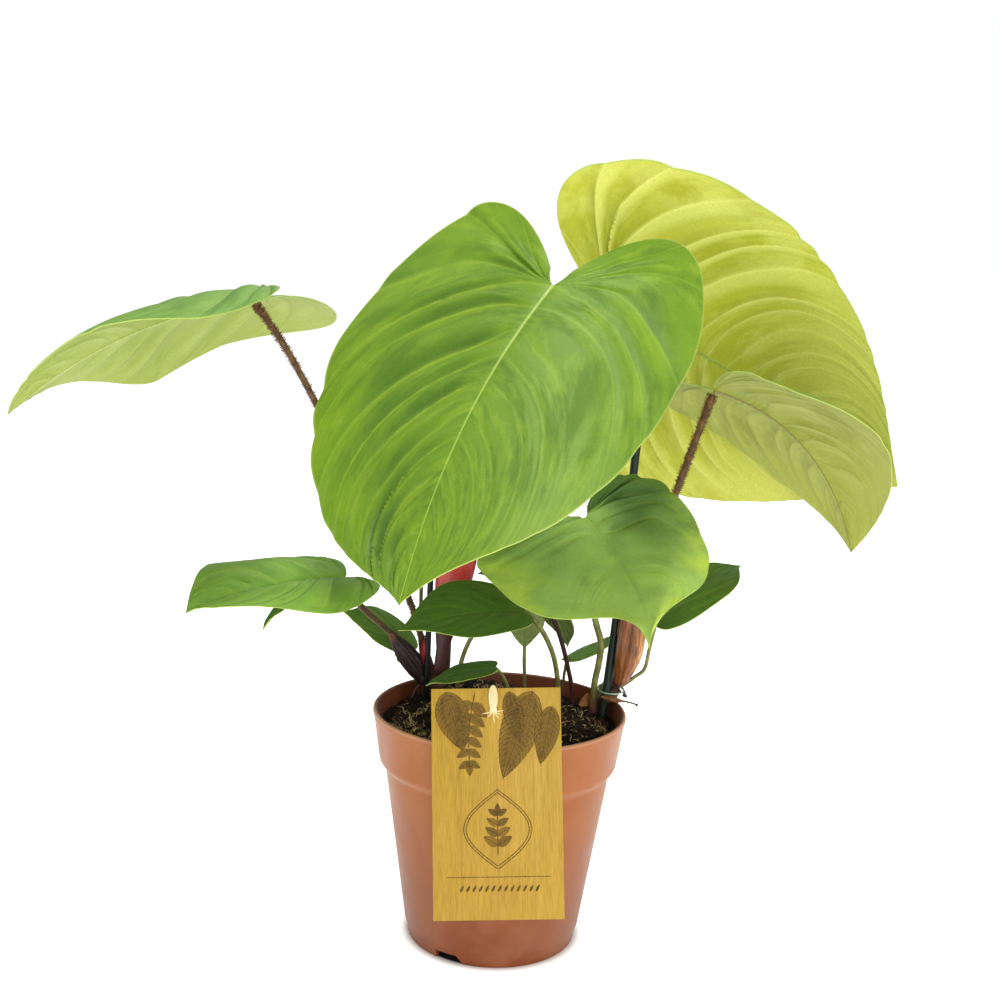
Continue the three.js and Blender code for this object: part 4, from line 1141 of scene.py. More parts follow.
def scatter(template, count, seed, settings, sizes, reach=0.0545, centre=(0, 0), lift=0.0, lying=0.5):
    """Copies of a grain or fibre all over the soil, or round one place of it, clear of the pot's wall."""
    limit = max(SOIL_RADIUS - 0.1 * MM - sizes[1] * max(template.dimensions), LOOSE_RADIUS)
    draw = random.Random(seed)
    matrices = []
    while len(matrices) < count:
        angle = draw.uniform(0, 2 * math.pi)
        distance = reach * math.sqrt(draw.random())
        x = centre[0] + distance * math.cos(angle)
        y = centre[1] + distance * math.sin(angle)
        if math.hypot(x, y) > limit:
            continue
        spin = Matrix.Rotation(draw.uniform(0, 2 * math.pi), 4, "Z")
        lean = Matrix.Rotation(draw.gauss(0, lying), 4, "X") @ Matrix.Rotation(draw.gauss(0, lying), 4, "Y")
        grown = draw.uniform(*sizes)
        wide, deep = draw.uniform(0.7, 1.3), draw.uniform(0.7, 1.3)
        stretch = Matrix.Diagonal((grown * wide, grown * deep, grown, 1))
        z = peat_height(settings, x, y) + lift
        matrices.append(Matrix.Translation((x, y, z)) @ spin @ lean @ stretch)
    return copies_of(template, matrices)


def grain_template(radius, flat):
    deselect()
    bpy.ops.mesh.primitive_ico_sphere_add(subdivisions=1, radius=radius)
    grain = bpy.context.object
    for vertex in grain.data.vertices:
        vertex.co *= 1 + 0.35 * noise.noise(vertex.co / radius * 1.7 + Vector((flat, 0, 0)))
        vertex.co.z *= flat
    return grain


def fibre_template(length, radius):
    """A thin, bent thread of three sides."""
    bends = [(0, 0, 0), (length * 0.3, length * 0.1, length * 0.06), (length * 0.7, -length * 0.08, 0.3),
             (length, length * 0.12, 0)]
    return tube(route(bends, 5), lambda share: radius * (1.05 - share ** 3), 0)


# The pieces


CAMERA_PLACE = (0, -0.641, 0.318)
CAMERA_TURN = (0.34, 9.40, 2.31)  # to the left, down and over to the right, in degrees
LIGHT_AIM = (0, 0, 0.18)


class PLANT_OT_stage(bpy.types.Operator):
    """Places the camera, the pale floor and the soft light"""

    bl_idname = "plant.stage"
    bl_label = "Stage"

    def execute(self, context):
        settings = context.scene.plant_studio
        yaw, pitch, roll = (math.radians(angle) for angle in CAMERA_TURN)
        ahead = Vector((-math.sin(yaw) * math.cos(pitch), math.cos(yaw) * math.cos(pitch), -math.sin(pitch)))
        level = Vector((math.cos(yaw), math.sin(yaw), 0))
        above = level.cross(ahead)
        right = level * math.cos(roll) + above * math.sin(roll)
        up = above * math.cos(roll) - level * math.sin(roll)
        deselect()
        bpy.ops.object.camera_add(location=CAMERA_PLACE)
        camera = context.object
        turn = Matrix((right, up, -ahead)).transposed().to_4x4()
        camera.matrix_world = Matrix.Translation(CAMERA_PLACE) @ turn
        camera.data.lens = settings.lens
        camera.data.sensor_width = 36
        camera.data.clip_start = 0.01
        context.scene.camera = camera

        bpy.ops.mesh.primitive_plane_add(size=60)
        floor = context.object
        floor.name = "floor"
        material, graph, shader = new_material("floor_paint", Roughness=0.9, Specular_IOR_Level=0.0)
        shader.inputs["Emission Color"].default_value = (1, 1, 1, 1)
        reach = graph.add("VectorMath", graph.place(), operation="LENGTH").outputs["Value"]
        # Painted shadow: the floor is nearly black under the pot, where only shade lies, showing through the
        # notches.
        under = graph.mix(graph.band(reach, 0.0385, 0.0395), rgba((0.02, 0.02, 0.02)), rgba(settings.floor))
        graph.feed(shader.inputs["Base Color"], under)
        graph.feed(shader.inputs["Emission Strength"], graph.band(reach, 0.0395, 0.0445, 0.0, 0.62))
        floor.data.materials.append(material)

        for name, place, size, share in (
            ("key", (0.35, -1.6, 0.6), 0.7, 0.8),
            ("left", (-1.3, -0.9, 0.7), 1.0, 0.3),
            ("right", (1.4, -0.6, 0.5), 1.0, 0.45),
            ("top", (-0.1, 0.1, 1.7), 0.6, 1.1),
            ("back", (0.3, 1.2, 1.2), 1.4, 0.3),
        ):
            bpy.ops.object.light_add(type="AREA", location=place)
            light = context.object
            light.name = f"{name}_light"
            light.data.shape = "DISK"
            light.data.size = size
            light.data.energy = settings.key * share
            aim = Vector(LIGHT_AIM) - Vector(place)
            light.rotation_euler = aim.to_track_quat("-Z", "Y").to_euler()

        world = bpy.data.worlds.new("studio")
        world.use_nodes = True
        graph = Graph(world.node_tree)
        ray = graph.add("LightPath").outputs["Is Camera Ray"]
        sky = world.node_tree.nodes["Background"]
        sky.inputs["Color"].default_value = (1, 1, 1, 1)
        graph.feed(sky.inputs["Strength"], graph.band(ray, 0.0, 1.0, settings.sky, 1.0))
        context.scene.world = world
        context.scene.view_settings.view_transform = "Standard"
        return {"FINISHED"}


POT_CORNERS = 144
WALL_SLOPE = 0.149  # how far the wall leans outwards with its height
NOTCHES = {
    "count": 3, "first": -28, "left": -7.0, "right": (4.0, 8.5), "middle": -36.2, "depth": 8, "top": 4.0,
}
DRAINS = {"count": 6, "radius": 4, "from_centre": 24, "level": 5, "depth": 6}


class PLANT_OT_pot(bpy.types.Operator):
    """Turns the nursery pot and cuts its notches and drain holes"""

    bl_idname = "plant.pot"
    bl_label = "Pot"

    def execute(self, context):
        settings = context.scene.plant_pot
        height, rim, collar = settings.height / MM, settings.rim_radius / MM, settings.collar_radius / MM
        body, foot, wall = settings.body_radius / MM, settings.foot_radius / MM, settings.wall / MM
        ring = foot - wall - 2.1
        pad = [(9, 0), (9.2, 4), (ring - 0.5, 4)]
        foot_ring = [
            (ring, 0.3), (ring + 0.3, 0), (foot - 1.5, 0), (foot - 1.15, 0.3), (foot - 0.1, 6.7), (foot, 7.1),
            (foot + 0.55, 7.3), (foot + 0.7, 7.6),
        ]
        ledge = [
            (body - 0.62, 77.4), (body - 0.54, 77.7), (body - 0.2, 82.4), (body, 83.8), (body + 0.45, 84.5),
            (body + 1.3, 85.4), (body + 2.3, 86.4), (collar - 0.5, 87.3), (collar - 0.1, 88.4),
            (collar + 0.2, 90.5),
        ]
        lip = [
            (rim - 0.5, height - 3.2), (rim - 0.12, height - 2.5), (rim, height - 1.4),
            (rim - 0.15, height - 0.5), (rim - 0.7, height), (rim - 1.5, height), (rim - 2.1, height - 0.5),
            (rim - 2.3, height - 2),
        ]
        inside = [
            (collar - wall, 92.5), (body - wall, 85), (foot + 0.7 - wall, 6.2), (foot - 1.6, 5.5), (4, 5.5),
        ]
        stations = [*pad, *foot_ring, *ledge, *lip, *inside]
        pot = turned([(radius * MM, level * MM) for radius, level in stations], POT_CORNERS)
        cut_out(pot, *self.notches(), *self.drains())
        smooth(pot, 28)
        finish_piece(pot, "pot_shell", "pot_plastic", [self.material(settings)], "pot")
        return {"FINISHED"}

    def notches(self):
        """Three notches in the foot ring, each with one slanting end."""
        upper_right, lower_right = NOTCHES["right"]
        for i in range(NOTCHES["count"]):
            deselect()
            bpy.ops.mesh.primitive_cube_add(size=1, location=(0, 0, 0))
            block = bpy.context.object
            for vertex in block.data.vertices:
                right = lower_right if vertex.co.z < 0 else upper_right
                x = right if vertex.co.x > 0 else NOTCHES["left"]
                y = NOTCHES["middle"] + NOTCHES["depth"] * vertex.co.y * 2
                vertex.co = Vector((x, y, NOTCHES["top"] if vertex.co.z > 0 else -1.0)) * MM
            angle = math.radians(NOTCHES["first"] + 360 / NOTCHES["count"] * i)
            block.matrix_world = Matrix.Rotation(angle, 4, "Z")
            yield block

    def drains(self):
        """Round holes in the floor, between the centre pad and the foot ring."""
        away = DRAINS["from_centre"] * MM
        for i in range(DRAINS["count"]):
            angle = (i + 0.5) * 2 * math.pi / DRAINS["count"]
            deselect()
            bpy.ops.mesh.primitive_cylinder_add(
                vertices=32, radius=DRAINS["radius"] * MM, depth=DRAINS["depth"] * MM,
                location=(away * math.cos(angle), away * math.sin(angle), DRAINS["level"] * MM),
            )
            yield bpy.context.object

    def material(self, settings):
        """Satin plastic: paler along its rim as a painted highlight, deeper and browner towards its foot as
        painted shade.
        """
        material, graph, shader = new_material(
            "pot_plastic", Specular_IOR_Level=0.3, Sheen_Weight=0.06, Sheen_Roughness=0.4
        )
        place = graph.place()
        group = kept(bpy.data.node_groups, "Moulded grain", grain_group)
        plastic = use_group(graph, group, Place=place, Scale=2400.0)
        x, y, z = graph.parts(place)
        # Painted shade: the colour deepens towards the foot, where less light reaches the pot.
        foot_shade = graph.times(graph.band(z, 0.0, 0.095, 1.0, 0.0), 0.85)
        colour = graph.mix(foot_shade, rgba(settings.colour), rgba(settings.deep))
        colour = graph.mix(graph.times(plastic["Clouds"], 0.12), colour, rgba(settings.edge))
        reach = graph.math("SQRT", graph.math("ADD", graph.times(x, x), graph.times(y, y)))
        rim, top = settings.rim_radius, settings.height
        # Painted highlight: the paler edge colour along the rolled lip of the rim.
        upper = graph.band(z, top - 0.0022, top - 0.0004)
        lip = graph.times(upper, graph.band(reach, rim - 0.0025, rim - 0.0012))
        colour = graph.mix(graph.times(lip, 0.6), colour, rgba(settings.edge))
        # Partly a paler band of plastic at the collar's foot and partly painted light that lifts the shade
        # under the collar.
        ledge = graph.times(graph.band(z, 0.0838, 0.0848), graph.band(z, 0.087, 0.0895, 1.0, 0.0))
        colour = graph.mix(graph.times(ledge, 0.1), colour, rgba(settings.edge))
        # Painted shade: the inner wall under the rim is darker, where the rim shades it.
        wall = graph.math("SUBTRACT", reach, graph.times(z, WALL_SLOPE))
        inside = graph.times(graph.band(wall, 0.0419, 0.0427, 1.0, 0.0), graph.band(z, 0.09, 0.1))
        colour = graph.mix(inside, colour, rgba(tone(108, 54, 28)))
        marks = graph.noise(graph.stretched(place, (1.0, 1.0, 6.0)), 90.0, 4.0, 0.7)
        colour = graph.mix(graph.band(marks, 0.6, 0.8, 0.0, 0.1), colour, rgba(settings.edge))
        relief = graph.bump(plastic["Height"], 0.1, 0.0001)
        graph.fill(shader, Base_Color=colour, Roughness=plastic["Roughness"], Normal=relief)
        return material


class PLANT_OT_soil(bpy.types.Operator):
    """Fills the pot with peat and scatters clods, fibres, bark, moss and white grains on it"""

    bl_idname = "plant.soil"
    bl_label = "Soil"

    def execute(self, context):
        settings = context.scene.plant_soil
        peat = crumb_material("peat", tuple(settings.colour), tone(34, 23, 15))
        self.body(settings, peat)
        loose = (
            ("clods", grain_template(1.6 * MM, 0.8), settings.clods, (0.35, 2.0), 0.0006, 0.6, peat),
            ("chips", grain_template(1.3 * MM, 0.5), 420, (0.4, 1.5), 0.0011, 0.6,
             crumb_material("chips", tone(30, 20, 13), tone(96, 68, 40))),
            ("crumbs", grain_template(0.6 * MM, 0.9), settings.clods, (0.5, 1.3), 0.0005, 0.8,
             crumb_material("crumbs", tone(18, 12, 8), tone(44, 30, 20))),
            ("bark", grain_template(2.2 * MM, 0.35), 60, (0.5, 1.3), 0.0008, 0.35,
             crumb_material("bark", tone(84, 52, 32), tone(126, 84, 50))),
            ("perlite", grain_template(0.8 * MM, 0.8), 46, (0.5, 1.1), 0.0007, 0.8,
             crumb_material("perlite", tone(222, 216, 200), tone(190, 180, 160))),
            ("fibres", fibre_template(5.6, 0.18), settings.fibres, (0.3, 1.3), 0.0022, 0.5,
             crumb_material("fibres", tuple(settings.straw), tone(116, 90, 54))),
            ("dark_fibres", fibre_template(8.0, 0.22), settings.fibres, (0.4, 1.4), 0.001, 0.3,
             crumb_material("dark_fibres", tone(40, 26, 18), tone(78, 54, 34))),
        )
        for seed, (name, template, count, sizes, lift, lying, material) in enumerate(loose):
            spread = scatter(template, count, seed, settings, sizes, lift=lift, lying=lying)
            finish_piece(spread, f"soil_{name}", "soil", [material])
        moss = crumb_material("moss", tuple(settings.moss), tone(116, 84, 46))
        # each tuft's place, reach and number of threads
        tufts = (
            (-46, -16, 7, 200), (-41, -27, 8, 220), (-31, -33, 5, 110), (-24, -22, 5, 90), (-6, 31, 8, 150),
            (8, 34, 6, 110), (-34, 6, 6, 80), (46, -10, 5, 50),
        )
        for seed, (x, y, reach, count) in enumerate(tufts):
            tuft = scatter(
                fibre_template(2.9, 0.25), count, MOSS_SEED + seed, settings, (0.4, 1.2), reach * MM,
                (x * MM, y * MM), 0.0016, 0.9,
            )
            finish_piece(tuft, f"soil_moss_{seed + 1}", "soil", [moss])
        return {"FINISHED"}

    def body(self, settings, material):
        """A round grid with a lumpy top, extruded down inside the pot's wall."""
        deselect()
        bpy.ops.mesh.primitive_grid_add(x_subdivisions=110, y_subdivisions=110, size=2, calc_uvs=False)
        soil = bpy.context.object
        for vertex in soil.data.vertices:
            x, y, _ = vertex.co
            flat_x = SOIL_RADIUS * x * math.sqrt(1 - y * y / 2)
            flat_y = SOIL_RADIUS * y * math.sqrt(1 - x * x / 2)
            vertex.co = (flat_x, flat_y, peat_height(settings, flat_x, flat_y))
        bpy.ops.object.mode_set(mode="EDIT")
        bpy.ops.mesh.select_all(action="SELECT")
        bpy.ops.mesh.extrude_region_move(TRANSFORM_OT_translate={"value": (0, 0, -0.01)})
        wide, level = SOIL_FOOT[0]
        share = wide / SOIL_RADIUS
        bpy.ops.transform.resize(value=(share, share, 0), center_override=(0, 0, level))
        for next_wide, next_level in SOIL_FOOT[1:]:
            bpy.ops.mesh.extrude_region_move(TRANSFORM_OT_translate={"value": (0, 0, next_level - level)})
            share = next_wide / wide
            bpy.ops.transform.resize(value=(share, share, 1), center_override=(0, 0, next_level))
            wide, level = next_wide, next_level
        bpy.ops.object.mode_set(mode="OBJECT")
        smooth(tidy_mesh(soil), 70)
        finish_piece(soil, "soil_bed", "soil", [material], "soil")


class PLANT_OT_stems(bpy.types.Operator):
    """Models the two ends of the creeping stem and the aerial root"""

    bl_idname = "plant.stems"
    bl_label = "Stems"

    def execute(self, context):
        bark = fibre_material(
            "stem_bark", tone(70, 42, 28), tone(42, 24, 18), tone(36, 24, 18), 100, 108, 900.0, 0.8,
            tone(96, 60, 36),
        )
        left = tube(route([(-31.5, 29, 84), (-33, 30, 104), (-33.5, 30.2, 121)], 30),
                    lambda share: 6.4 + 0.45 * math.sin(26 * share) - 2.5 * step(0.86, 1.0, share), 5)
        finish_piece(roughen(left, 0.9, 3.0), "left_stem", "stem", [bark], "stem_left")
        right = tube(route([(44, 19, 84), (47.8, 19.4, 100), (50.2, 18.9, 111), (56.8, 16.8, 118.6)], 30),
                     lambda share: 3.2 + 0.3 * math.sin(30 * share), 4)
        finish_piece(roughen(right, 0.6, 2.2), "right_stem", "stem", [bark], "stem_right")
        root = tube(route([(-38, 28, 114.6), (-41, 27, 112), (-43.4, 25.5, 107.5), (-44.5, 24.5, 98)], 24),
                    lambda share: 0.6 - 0.1 * share, 3)
        finish_piece(roughen(root, 0.2, 1.2), "root", "stem", [bark], "aerial_root")
        return {"FINISHED"}


class PLANT_OT_leaves(bpy.types.Operator):
    """Models every blade, and the midribs that stand out under the large ones"""

    bl_idname = "plant.leaves"
    bl_label = "Leaves"

    def execute(self, context):
        for name, leaf in LEAVES.items():
            make_blade(name, leaf, context.scene.plant_leaves)
            if leaf["kind"] == "MATURE":
                make_rib(name, leaf)
        return {"FINISHED"}


class PLANT_OT_stalks(bpy.types.Operator):
    """Models every stalk, the scales on the brown ones and the young spear"""

    bl_idname = "plant.stalks"
    bl_label = "Stalks"

    def execute(self, context):
        for name, leaf in LEAVES.items():
            make_stalk(name, leaf)
            if leaf["stalk"] == "brown":
                make_scales(name, leaf, context.scene.plant_stalks)
        path = [(-36, 34.4, 112), (-39, 33.6, 122), (-40.9, 33, 135), (-41, 33, 152), (-40.8, 33, 170),
                (-35.2, 33.5, 212)]
        spear = tube(route(path, 40), lambda share: 0.97 * (1 - 0.6 * step(0.85, 1.0, share)), 3)
        finish_piece(spear, "spear", "green_stalk", [stalk_material("olive")], "young_spear")
        return {"FINISHED"}


class PLANT_OT_sheaths(bpy.types.Operator):
    """Models the red, orange, small, dried, clasping and bud sheaths"""

    bl_idname = "plant.sheaths"
    bl_label = "Sheaths"

    def execute(self, context):
        maroon = tuple(context.scene.plant_stalks.foot)
        red = sheath_material(
            "red_sheath", tone(208, 72, 58), tone(188, 34, 16), tone(164, 74, 30),
            ((-27.5, -25.5), (-16, -13.5)), tone(66, 20, 18), 150, 172, tone(150, 26, 16),
        )
        make_sheath("red_sheath", RED_SHEATH, red, "red_sheath", "sheath_red")
        orange = sheath_material(
            "orange_sheath", tone(180, 84, 60), tone(148, 84, 20), tone(190, 126, 38),
            ((60.5, 63.5), (63.5, 66)), tone(104, 56, 18), 119, 127, tone(60, 26, 8), 0.7, 154,
        )
        make_sheath("orange_sheath", ORANGE_SHEATH, orange, "brown_sheath", "sheath_orange")
        small = fibre_material(
            "small_sheath", tone(178, 104, 44), tone(128, 66, 28), maroon, 102, 106, 800.0, 0.6,
            tone(196, 136, 70),
        )
        make_sheath("small_sheath", SMALL_SHEATH, small, "brown_sheath", "sheath_small")
        dry = fibre_material(
            "dry_sheath", tone(142, 92, 52), tone(96, 58, 34), maroon, 90, 91, 900.0, 0.9, tone(176, 128, 82)
        )
        make_sheath("dry_sheath", DRY_SHEATH, dry, "brown_sheath", "sheath_dry")
        spike = tube(
            route(DRY_SPIKE, 30), lambda share: 0.55 - 0.25 * share + 0.55 * step(0.88, 0.93, share), 3
        )
        spiky = fibre_material("dry_spike", tone(92, 62, 38), tone(56, 38, 24), maroon, 90, 91)
        finish_piece(roughen(spike, 0.12, 0.8), "dry_spike", "brown_sheath", [spiky])
        clasp = fibre_material(
            "clasp_sheath", tone(150, 92, 44), tone(96, 50, 28), tone(34, 18, 13), 137, 144, 900.0, 0.9,
            tone(120, 62, 34),
        )
        make_sheath("clasp_sheath", CLASP_SHEATH, clasp, "brown_sheath")
        bud = fibre_material(
            "bud_sheath", tone(150, 18, 32), tone(112, 20, 24), tone(60, 24, 20), 124, 130, 900.0, 0.4
        )
        make_sheath("bud_sheath", BUD_SHEATH, bud, "red_sheath")
        return {"FINISHED"}


LOOP_STEPS = 60
END_STEPS = 20


class PLANT_OT_stakes(bpy.types.Operator):
    """Models the two coated stakes and the wire tie"""

    bl_idname = "plant.stakes"
    bl_label = "Stakes and tie"

    def execute(self, context):
        def rounded(radius):
            return lambda share: radius * min(1.0, 0.6 + 60 * share, 0.6 + 60 * (1 - share))

        black = plastic_material("black_coating", tone(12, 15, 16), tone(20, 25, 26), 1800.0, 0.35, 0.3)
        green = plastic_material("green_coating", tone(13, 27, 20), tone(20, 36, 26), 1800.0, 0.35, 0.3)
        left = tube(route([(-36.8, 24.9, 52), (-35.5, 21, 262)], 120), rounded(1.5), 4)
        finish_piece(left, "left_stake", "stake_coating", [black], "stake_left")
        right = tube(route([(45.9, 8.2, 64), (50.6, 14, 111.4), (54.5, 19, 152), (62.5, 31, 262)], 120),
                     rounded(2.0), 4)
        finish_piece(right, "right_stake", "stake_coating", [green], "stake_right")
        coating = plastic_material("tie_coating", tone(158, 182, 156), tone(128, 158, 132), 2600.0, 0.2, 0.5)
        loop, ends = self.tie()
        finish_piece(loop, "wire_tie", "tie_wire", [coating], "stake_tie")
        # Painted shade: a darker copy of the tie's coating on the twisted knot and its ends.
        shaded = plastic_material("tie_ends_shade", tone(54, 62, 50), tone(92, 104, 84), 2600.0, 0.2)
        finish_piece(ends, "wire_ends", "tie_wire", [shaded])
        return {"FINISHED"}

    def tie(self):
        """A turn and a half of wire, twisted together at the right, with two short ends that hang down."""
        centre = Vector((53.9, 19.5, 117.4))
        loop = []
        for i in range(LOOP_STEPS + 1):
            angle = math.radians(10 + 540 * i / LOOP_STEPS)
            lift = 0.9 * (i / LOOP_STEPS - 0.5)
            y = 11 * math.sin(angle)
            loop.append(centre + Vector((6.2 * math.cos(angle), y, -y * math.tan(math.radians(4)) + lift)))
        knot = centre + Vector((6.1, -3.4, 0.3))
        ends = []
        for start in (0, math.pi):
            end = []
            for i in range(END_STEPS + 1):
                angle = start + 0.75 * i
                spread = 0.4 + 0.8 * step(13, END_STEPS, i)
                down = Vector((0.03 * i, -0.04 * i, -0.12 * i))
                twist = Vector((math.cos(angle), math.sin(angle), 0.2 * math.sin(start)))
                end.append(knot + down + twist * spread)
            ends.append(end)
        wire = tube(loop, lambda share: 0.4, 2)
        return wire, join(*[tube(places, lambda share: 0.42, 2) for places in ends])


class PLANT_OT_card(bpy.types.Operator):
    """Models the care card, its plain leaf print and its peg"""

    bl_idname = "plant.card"
    bl_label = "Card and peg"

    lean = 15
    roll = -3.2
    top = (-2, -56.2, 138.6)
    peg_x = -1.2
    peg_drop = 9.5

    def execute(self, context):
        settings = context.scene.plant_card
        self.tints = []
        finish_piece(self.board(settings), "card_board", "card", [self.wood(settings)], "care_card")
        ink = crumb_material("print_ink", tuple(settings.ink), tone(116, 92, 44), 1500.0, 0.1)
        finish_piece(self.printed_leaves(), "card_print", "card", [ink])
        thin = crumb_material("print_tint", tuple(settings.tint), tone(138, 106, 42), 900.0, 0.05)
        finish_piece(self.tint_layer(), "card_tint", "card", [thin])
        cream = plastic_material("peg_plastic", tuple(settings.cream), tone(214, 194, 140), 1500.0, 0.2)
        finish_piece(self.peg(), "card_peg", "holder_plastic", [cream], "card_holder")
        slits = plastic_material("slit_light", tone(222, 196, 128), tone(196, 166, 92), 1500.0, 0.2)
        finish_piece(self.slits(), "card_slits", "card", [slits])
        return {"FINISHED"}

    def on_card(self):
        """The card's place: x to the right, z up from its top edge, and -y in front of it."""
        lean = Matrix.Rotation(math.radians(-self.lean), 4, "X")
        roll = Matrix.Rotation(math.radians(self.roll), 4, "Y")
        return Matrix.Translation(Vector(self.top) * MM) @ lean @ roll

    def block(self, size, place):
        deselect()
        bpy.ops.mesh.primitive_cube_add(size=1, location=Vector(place) * MM)
        block = bpy.context.object
        block.scale = Vector(size) * MM
        bpy.ops.object.transform_apply(location=True, rotation=True, scale=True)
        return block

    def board(self, settings):
        width, height, thick = settings.width / MM, settings.height / MM, settings.thickness / MM
        board = self.block((width, thick, height), (0, 0, -height / 2))
        bpy.ops.object.mode_set(mode="EDIT")
        bpy.ops.mesh.select_all(action="SELECT")
        bpy.ops.mesh.bevel(offset=0.16 * MM, segments=2)
        bpy.ops.object.mode_set(mode="OBJECT")
        cut_out(board, self.block((3.8, 4, 2.6), (self.peg_x, 0, -self.peg_drop)))
        smooth(board, 30)
        layer = board.data.uv_layers.new(name="Card")
        for loop in board.data.loops:
            place = board.data.vertices[loop.vertex_index].co / MM
            layer.data[loop.index].uv = (place.x / UV_UNIT, place.z / UV_UNIT)
        board.matrix_world = self.on_card()
        return board

    def wood(self, settings):
        """Gold planks with upright grain, darker joints between them and a few worn patches."""
        material, graph, shader = new_material("card_wood", Specular_IOR_Level=0.35)
        card = graph.uv("Card")
        parts = graph.parts(card)
        drawn = graph.stretched(card, (1.0, 0.05, 1.0))
        grain = graph.noise(drawn, 190.0, 5.0, 0.7)
        broad = graph.noise(graph.stretched(card, (1.0, 0.12, 1.0)), 16.0, 3.0, 0.6)
        colour = graph.mix(graph.band(grain, 0.4, 0.66), rgba(settings.gold), rgba(settings.grain))
        colour = graph.mix(graph.band(broad, 0.42, 0.7, 0.0, 0.35), colour, rgba(tone(198, 162, 62)))
        plank = graph.math("FRACT", graph.times(parts[0], 6.4))
        joint = graph.math("ABSOLUTE", graph.math("SUBTRACT", plank, 0.5))
        colour = graph.mix(graph.band(joint, 0.455, 0.49, 0.0, 0.5), colour, rgba(settings.grain))
        worn = graph.band(graph.noise(card, 22.0, 5.0, 0.7), 0.56, 0.72, 0.0, 0.5)
        colour = graph.mix(worn, colour, rgba(settings.grain))
        roughness = graph.band(grain, 0.3, 0.7, 0.42, 0.6)
        graph.fill(shader, Base_Color=colour, Roughness=roughness, Normal=graph.bump(grain, 0.15, 0.0001))
        return material

    def leaflet(self):
        """A flat pointed oval, one unit long from its foot, with a little thickness."""
        deselect()
        upright = (math.pi / 2, 0, 0)
        bpy.ops.mesh.primitive_circle_add(vertices=12, radius=0.5, fill_type="NGON", rotation=upright)
        leaflet = bpy.context.object
        bpy.ops.object.transform_apply(rotation=True)
        for vertex in leaflet.data.vertices:
            share = vertex.co.z + 0.5
            vertex.co.x *= 1.4 * (1 - share) ** 0.35 * share ** 0.1 if 0 < share < 1 else 0
            vertex.co.z = share
        bpy.ops.object.mode_set(mode="EDIT")
        bpy.ops.mesh.select_all(action="SELECT")
        bpy.ops.mesh.extrude_region_move(TRANSFORM_OT_translate={"value": (0, -0.00005, 0)})
        bpy.ops.object.mode_set(mode="OBJECT")
        return tidy_mesh(leaflet, 1e-7)

    def flat(self, x, z, angle, length, width, lift=0.0):
        """A place on the card's front for one leaflet. angle 0 points up and 90 to the right."""
        turn = Matrix.Rotation(math.radians(angle), 4, "Y")
        size = Matrix.Diagonal((width * MM, 1, length * MM, 1))
        return self.on_card() @ Matrix.Translation((x * MM, (-0.4 - lift) * MM, z * MM)) @ turn @ size

    def line(self, points, width, lift=0.0):
        """Short strokes along these points of the card's front."""
        strokes = []
        for (x, z), (next_x, next_z) in zip(points, points[1:]):
            length = math.hypot(next_x - x, next_z - z)
            angle = math.degrees(math.atan2(next_x - x, next_z - z))
            strokes.append(self.flat(x, z, angle, 1.3 * length, width, lift))
        return strokes

    def drawn_leaf(self, foot, heading, length, half, pairs, rib=0.55):
        """An oval leaf in line over a thin tint: its outline, midrib, curved veins and the lines between."""
        turn = math.radians(heading)
        ahead, aside = Vector((math.sin(turn), math.cos(turn))), Vector((math.cos(turn), -math.sin(turn)))

        def spot(share, across):
            width = half * math.sin(math.pi * share ** 0.75) ** 0.8
            return tuple(Vector(foot) + ahead * length * share + aside * width * across)

        right, left = [spot(i / 20, 1) for i in range(21)], [spot(1 - i / 20, -1) for i in range(1, 20)]
        self.tints.append(right + left)
        strokes = self.line([spot(i / 12, 0) for i in range(13)], rib, 0.02)
        for side in (-1, 1):
            strokes += self.line([spot(i / 24, side) for i in range(25)], 0.6 * rib)
            for pair in range(pairs):
                start = 0.04 + 0.84 * pair / pairs
                vein = [spot(start + 0.14 * t * t, side * t) for t in (0, 0.35, 0.7, 1)]
                strokes += self.line(vein, 0.55 * rib)
                for between in (0.2, 0.4, 0.6, 0.8):
                    at = start + 0.84 * between / pairs
                    reaches = (0.04, 0.3, 0.5 + between / 3)
                    strokes += self.line([spot(at + 0.14 * t * t, side * t) for t in reaches], 0.4 * rib)
        return strokes

    def twig(self, foot, heading, length, bend, pairs, size):
        """A bending twig with pairs of small oval leaves and one at its end."""
        strokes, place, turn = [], Vector(foot), math.radians(heading)
        for i in range(pairs):
            turn = math.radians(heading + bend * (i + 1) / pairs)
            after = place + Vector((math.sin(turn), math.cos(turn))) * length / pairs
            strokes += self.line([tuple(place), tuple(after)], 0.5, 0.02)
            grown = size * (1 - 0.45 * i / pairs)
            for side in (-1, 1):
                heads = math.degrees(turn) + 58 * side
                strokes += self.drawn_leaf(tuple(after), heads, grown, 0.27 * grown, 3, 0.36)
            place = after
        return strokes + self.drawn_leaf(tuple(place), math.degrees(turn), 0.7 * size, 0.18 * size, 3, 0.36)

    def tint_layer(self):
        """The thin ink inside the outlines: flat many-sided faces with a little thickness."""
        layer = bmesh.new()
        for number, outline in enumerate(self.tints):
            depth = -0.405 - 0.001 * number
            corners = [layer.verts.new(Vector((x, depth, z)) * MM) for x, z in outline]
            layer.faces.new(corners)
        deselect()
        bpy.ops.mesh.primitive_plane_add(size=MM)
        tint = bpy.context.object
        layer.to_mesh(tint.data)
        layer.free()
        tint.matrix_world = self.on_card()
        return apply_modifier(tidy_mesh(tint, 1e-8), "SOLIDIFY", thickness=0.00003)

